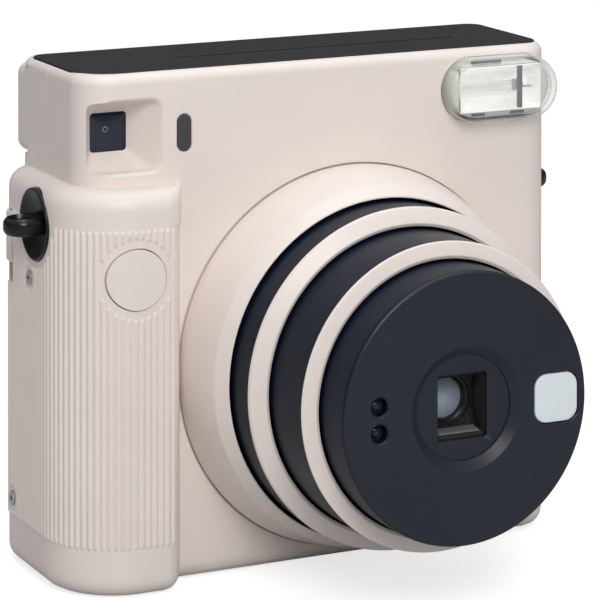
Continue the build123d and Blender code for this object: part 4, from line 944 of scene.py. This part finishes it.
def lens_hood():
    """Square stop behind the face, with a fine toothed strip along its sill."""
    low, high = node_box("lens_hood")
    hood = prism("hood_frame", circle_path(LENS_X, LENS_Z, 11.4),
                 rounded_levels(low.y, high.y, 0.1, 0.5))
    stations = [
        (12.4, 14.8, 0.8, low.y - 1), (12.0, 14.2, 0.7, low.y + 0.1),
        (11.2, 12.6, 0.6, low.y + 0.9), (11.2, 12.6, 0.6, high.y + 1),
    ]
    cut(hood, skin("opening", [rectangle_loop(LENS_X, LENS_Z, *station) for station in stations]))
    teeth, count, pitch = [], 24, 0.42
    front, sill = low.y + 0.5, LENS_Z - 6.32
    for k in range(count):
        x = LENS_X - 5.0 + pitch * k
        outline = [(x, front, sill), (x + pitch, front, sill), (x + pitch / 2, front, sill + 0.55)]
        back = [(px, high.y, pz + 0.35) for px, _, pz in outline]
        teeth.append(skin("tooth", [outline, back]))
    finish_piece(joined("sill_teeth", teeth), inner_grey, (), "front_barrel", angle=20)
    finish_piece(hood, inner_black, ["lens_hood"], "front_barrel")


def lens_cell():
    """Stepped black cup whose rings show round the front element."""
    front, rear = (corner.y for corner in node_box("lens_cell"))
    mouth_r, cup_r, flange_r, flange_thick = 7.7, 8.5, 14.0, 1.6
    seat_r, stop_r = 4.65, 3.6
    profile = rounded_profile([
        (mouth_r, front, 0.15), (cup_r, front, 0.2), (cup_r, rear - flange_thick, 0.2),
        (flange_r, rear - flange_thick, 0.2), (flange_r, rear, 0.1), (stop_r, rear, 0.05),
        (stop_r, rear - 0.6, 0.05), (seat_r, rear - 0.6, 0.05), (seat_r, rear - 3.0, 0.1),
        (5.1, rear - 3.4, 0.1), (5.6, rear - 3.5, 0.1), (5.9, rear - 4.3, 0.1),
        (6.5, rear - 4.4, 0.1), (6.7, rear - 5.3, 0.1), (7.4, rear - 5.4, 0.1),
    ], step=0.1)
    finish_piece(lathe("lens_barrel_rings", profile, 128), black_gloss, ["lens_cell"],
                 "front_barrel")


def front_element():
    """Plano-convex lens, its half section drawn from the axis round to the axis."""
    low, high = node_box("front_lens")
    radius, sag, steps = 4.6, 1.1, 14
    dome_r = (radius**2 + sag**2) / (2 * sag)
    profile = [(0.0, high.y), (radius, high.y)]
    for k in range(steps + 1):
        a = math.asin(radius / dome_r) * (1 - k / steps)
        profile.append((dome_r * math.sin(a), low.y + dome_r * (1 - math.cos(a))))
    finish_piece(lathe("front_element", profile, 96), lens_glass, ["front_lens"],
                 "front_barrel", angle=30)


# ------------------------------------------------------------------ viewfinder and flash

def finder_glass():
    """Slightly domed dark front glass of the viewfinder, with a small grey ring on it that is a painted
    reflection of the lens inside.
    """
    low, high = node_box("viewfinder_front_lens")
    dome = ((1.0, 0.45), (0.98, 0.3), (0.9, 0.2), (0.7, 0.1), (0.4, 0.03), (0.06, 0.0))
    glass = domed_plate("finder_glass", FINDER, 10.3, 0.8, low, high, dome, 8)
    finish_piece(glass, dark_glass, ["viewfinder_front_lens"], angle=40)
    front = low.y
    # This small grey ring is a painted reflection of the viewfinder's inner lens.
    ring = [(0.42, front + 0.02), (0.56, front - 0.04), (0.70, front + 0.02), (0.70, front + 0.4),
            (0.42, front + 0.4)]
    ring_at = (FINDER.x - 0.6, FINDER.z + 0.6)
    finish_piece(lathe("finder_reflection_ring", ring, 48, ring_at), inner_grey, (), angle=40)


def sensor_window():
    low, high = node_box("light_sensor_window")
    path = slot_path(SENSOR_WINDOW.x, SENSOR_WINDOW.z, high.x - low.x, high.z - low.z, 0.15)
    finish_piece(prism("sensor_pane", path, rounded_levels(low.y, high.y, 0.1, 0.1)[::-1]), smoked,
                 ["light_sensor_window"])


def flash():
    low, high = FLASH_LOW, FLASH_HIGH
    cover = prism("flash_cover", flash_outline(1.2, 0.6), rounded_front(low.y, 3.2, 8, high.y))
    cut(cover, prism("inside", flash_outline(3.6, 3.0),
                     rounded_front(low.y + 1.5, 2.0, 6, high.y + 2)))
    finish_piece(cover, clear, ["flash_window"], angle=40)

    # Pale frame that fills the cover round the reflector's mouth
    base = prism("flash_frame", flash_outline(4.0, 3.4), [(-22.6, -0.4), (-22.3, 0), (-17.0, 0)])
    cut(base, skin("mouth", [rectangle_loop(FLASH.x, FLASH.z, 21.6, 10.8, 0.4, y) for y in (-30, -10)]))
    notches = []
    for x, z, width in ((-4.9, 6.35, 4.8), (-0.7, 6.35, 2.8), (-5.6, -6.45, 3.7), (5.2, -6.45, 3.7)):
        notches.append(prism("notch", box_path(FLASH.x + x, FLASH.z + z, width, 1.1, 0.2, 0.2),
                             [(-22.75, 0), (-22.0, 0)]))
    finish_piece(joined("flash_notches", notches), inner_black, ())
    finish_piece(base, flash_grey, ())

    # Reflector: a parabolic trough with sloping ends, made of narrow flats
    rear, depth, half_height, flats = -17.3, 6.6, 5.3, 24
    steps = [-1 + 2 * k / flats for k in range(flats + 1)]
    section = [(rear - depth * t * t, half_height * t) for t in steps]
    rings = []
    for x, slope in [(-11.0, 1), (-8.6, 0), (-5.0, 0), (0.0, 0), (5.0, 0), (8.6, 0), (11.0, 1)]:
        inner = [(y - slope * (y - rear + depth), z) for y, z in section]
        rings.append([(FLASH.x + x, y, FLASH.z + z) for y, z in inner]
                     + [(FLASH.x + x, y + 0.3, FLASH.z + z * 1.03) for y, z in reversed(inner)])
    finish_piece(skin("reflector_trough", rings), reflector, ["flash_reflector"], angle=12)
    tube_low, tube_high = node_box("xenon_tube")
    axis_y = (tube_low.y + tube_high.y) / 2

    def rod(name, x0, x1, r, dy=0.0, dz=0.0):
        path = circle_path(axis_y + dy, FLASH.z + dz, r, segments=32)
        return prism(name, path, rounded_levels(FLASH.x + x0, FLASH.x + x1, 0.2, 0.2), sideways)

    tube = rod("flash_tube", -10.4, 6.2, 1.2)
    finish_piece(tube, tube_glass, ["xenon_tube"], angle=40)
    caps = joined("tube_caps", [rod("cap", 5.2, 7.4, 1.45), rod("wire", 7.2, 10.6, 0.28, -0.6, -0.4)])
    finish_piece(caps, spring, (), angle=40)
    strip = [rectangle_loop(FLASH.x + 5.6, FLASH.z, 1.3, 10.2, 0.2, y, 3) for y in (-23.4, -22.9)]
    finish_piece(skin("tube_clip", strip), clip_dark, ())


# The mirror is a pale, non-metallic surface; its blue-grey colour is a painted reflection of the bright
# studio.
mirror = moulded("mirror_face", linear(222, 230, 234), 0.25, grain_mm=1.5, grain=0.01, mottle=0.015, edge_lightening=0.0)
# The reflector glows a little: a painted reflection of the key light in its mirror-like surface.
reflector = metal("flash_reflector", (0.95, 0.97, 0.94, 1.0), 0.22, stretch=(14, 1, 1), grain=0.35,
                  metallic=0.15, painted_glow=0.27)
flash_grey = moulded("flash_grey", linear(206, 209, 200), 0.35, grain_mm=0.3, grain=0.1, mottle=0.05)
clip_dark = moulded("clip_dark", linear(70, 76, 78), 0.35, grain_mm=0.3, grain=0.1)
smoked = moulded("smoked_window", linear(62, 62, 64), 0.28, grain_mm=0.5, grain=0.05, coat=0.3, mottle=0.08)
tube_glass = glassy("tube_glass", (0.96, 0.97, 0.95, 1.0), roughness=0.04, ior=1.46)
blade_grey = metal("shutter_grey", (0.36, 0.38, 0.40, 1.0), 0.35, stretch=(1, 1, 3))

covers()
top_plate()
strap_lugs()
eyepiece()
control_ring()
bezel("outer_bezel", "outer_barrel", "outer_bezel_ring")
bezel("inner_bezel", "inner_barrel", "inner_bezel_ring")
barrel("outer_barrel", "outer_barrel", "outer_barrel_tube")
barrel("inner_barrel", "inner_barrel", "inner_barrel_tube")
front_barrel()
selfie_mirror()
sensor_domes()
lens_hood()
lens_cell()
front_element()
finder_glass()
sensor_window()
flash()

# ------------------------------------------------------------------ CAD nodes that stay

CARRIED = {
    "cover_screws": steel, "viewfinder_tube": inner_black, "eyepiece_lens": dark_glass,
    "lens_base": inner_black, "button_switch": inner_black, "button_spring": spring,
    "film_chamber": inner_black, "film_pack": inner_black, "film_stack": card,
    "film_door_hinge_pin": steel, "counter_window": clear, "counter_axle": inner_grey,
    "roller_frame": steel, "roller_bearings": bronze, "idler_axle": steel, "eject_motor": motor_can,
    "batteries": jacket, "battery_contacts": bronze, "battery_door_pin": steel,
    "main_board": moulded("circuit_board", linear(34, 92, 58), 0.35, grain_mm=0.8, grain=0.2, coat=0.5),
    "flash_capacitor": can_sleeve, "lens_holder": inner_black, "rear_lens": lens_glass,
    "barrier_blade_upper": inner_black, "barrier_blade_lower": inner_black,
    "shutter_blade_left": blade_grey, "shutter_blade_right": blade_grey, "shutter_button": cream,
    "film_door": cream, "pack_window": clear, "pressure_springs": spring, "door_latch": cream,
    "battery_door": cream, "front_roller": rubber, "rear_roller": rubber, "idler_gear": gear_white,
    "motor_pinion": bronze, "film_claw": steel, "counter_dial": card,
}
SOFTENED = {"shutter_button": 0.25, "film_door": 0.35, "door_latch": 0.4, "battery_door": 0.2}
for node, look in CARRIED.items():
    piece = NODES[node]
    piece.data.materials.clear()
    piece.data.materials.append(look)
    shade_smooth(piece, 30)
    if node in SOFTENED:
        soften = piece.modifiers.new("soften", "BEVEL")
        soften.width = SOFTENED[node] * MM
        soften.segments = 3
        soften.limit_method = "ANGLE"
        soften.angle_limit = math.radians(40)
    weight_normals(piece)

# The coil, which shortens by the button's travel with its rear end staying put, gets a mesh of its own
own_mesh(NODES["button_spring"])

# ------------------------------------------------------------------ stage, light, camera

FLOOR_SIZE = 6.0
floor_mesh = bpy.data.meshes.new("floor")
half = FLOOR_SIZE / 2
floor_corners = [(x * half, y * half, 0) for x, y in ((-1, -1), (1, -1), (1, 1), (-1, 1))]
floor_mesh.from_pydata(floor_corners, [], [(0, 1, 2, 3)])
floor = add_object("floor", floor_mesh)
paper = Nodes(bpy.data.materials.new("paper"))
seen_directly = paper.add("ShaderNodeLightPath").outputs["Is Camera Ray"]
mottling = paper.remap(paper.noise(90.0, detail=3.0))
paper.drive("Base Color", paper.mix(mottling, (0.48, 0.48, 0.48, 1.0), (0.52, 0.52, 0.52, 1.0)))
paper.set(Roughness=0.9, Specular_IOR_Level=0.1, Emission_Color=WHITE)
paper.drive("Emission Strength", paper.remap(seen_directly, 0.0, 1.0, 0.0, 0.72))
floor_mesh.materials.append(paper.owner)
floor.location.z = -0.0002

# White backdrop for the camera; dimmer for the object, and darker in reflections of what is low
studio = Nodes(bpy.data.worlds.new("studio"), "Background")
bpy.context.scene.world = studio.owner
studio.set(Color=WHITE)
rays = studio.add("ShaderNodeLightPath").outputs
split = studio.add("ShaderNodeSeparateXYZ")
studio.link(studio.add("ShaderNodeTexCoord").outputs["Generated"], split.inputs[0])
sky = studio.remap(split.outputs["Z"], 0.15, 0.8, 0.03, 0.5)
ambient = studio.mix(rays["Is Glossy Ray"], AMBIENT, sky, "FLOAT")
studio.drive("Strength", studio.mix(rays["Is Camera Ray"], ambient, 1.0, "FLOAT"))


def softbox(name, place, aim, size, power, color=(1, 1, 1)):
    """Square area light at place, pointing at aim; metres and watts."""
    data = bpy.data.lights.new(name, "AREA")
    data.shape = "SQUARE"
    data.size = size
    data.energy = power
    data.color = color
    lamp = add_object(name, data)
    lamp.location = place
    lamp.rotation_euler = (Vector(aim) - Vector(place)).to_track_quat("-Z", "Y").to_euler()


MIDDLE = (0.0, -0.01, 0.06)
softbox("key", (-0.22, -0.85, 0.66), MIDDLE, 0.42, 5.6, (1.0, 0.985, 0.975))
softbox("top", (0.10, 0.02, 0.95), MIDDLE, 0.6, 3.0, (0.90, 0.96, 1.0))

camera_data = bpy.data.cameras.new("camera")
camera = add_object("camera", camera_data)
bpy.context.scene.camera = camera
VIEWPOINT = Vector((-0.346659, -0.720349, 0.240811))
TURN, PITCH = -25.794, -0.754
LENS_MM, SENSOR_MM = 198.93, 36.0
SHIFT_X, SHIFT_Y = 0.02345, -1.1884
camera.location = VIEWPOINT
camera.rotation_euler = (math.radians(90 + PITCH), 0.0, math.radians(TURN))
camera_data.lens = LENS_MM
camera_data.sensor_width = SENSOR_MM
camera_data.clip_start, camera_data.clip_end = 0.05, 20.0

# The picture is taken with a shifted lens. The shift belongs to that viewpoint only, so it fades
# out as soon as the camera stands anywhere else.
viewpoint = add_object("viewpoint", None)
viewpoint.location = VIEWPOINT
for channel, shift in (("shift_x", SHIFT_X), ("shift_y", SHIFT_Y)):
    curve = camera_data.driver_add(channel)
    curve.driver.type = "SUM"
    distance = curve.driver.variables.new()
    distance.type = "LOC_DIFF"
    distance.targets[0].id = camera
    distance.targets[1].id = viewpoint
    for modifier in list(curve.modifiers):
        curve.modifiers.remove(modifier)
    curve.keyframe_points.insert(0.0, shift)
    curve.keyframe_points.insert(0.05, 0.0)
    for point in curve.keyframe_points:
        point.interpolation = "LINEAR"

bpy.context.scene.view_settings.view_transform = "Standard"
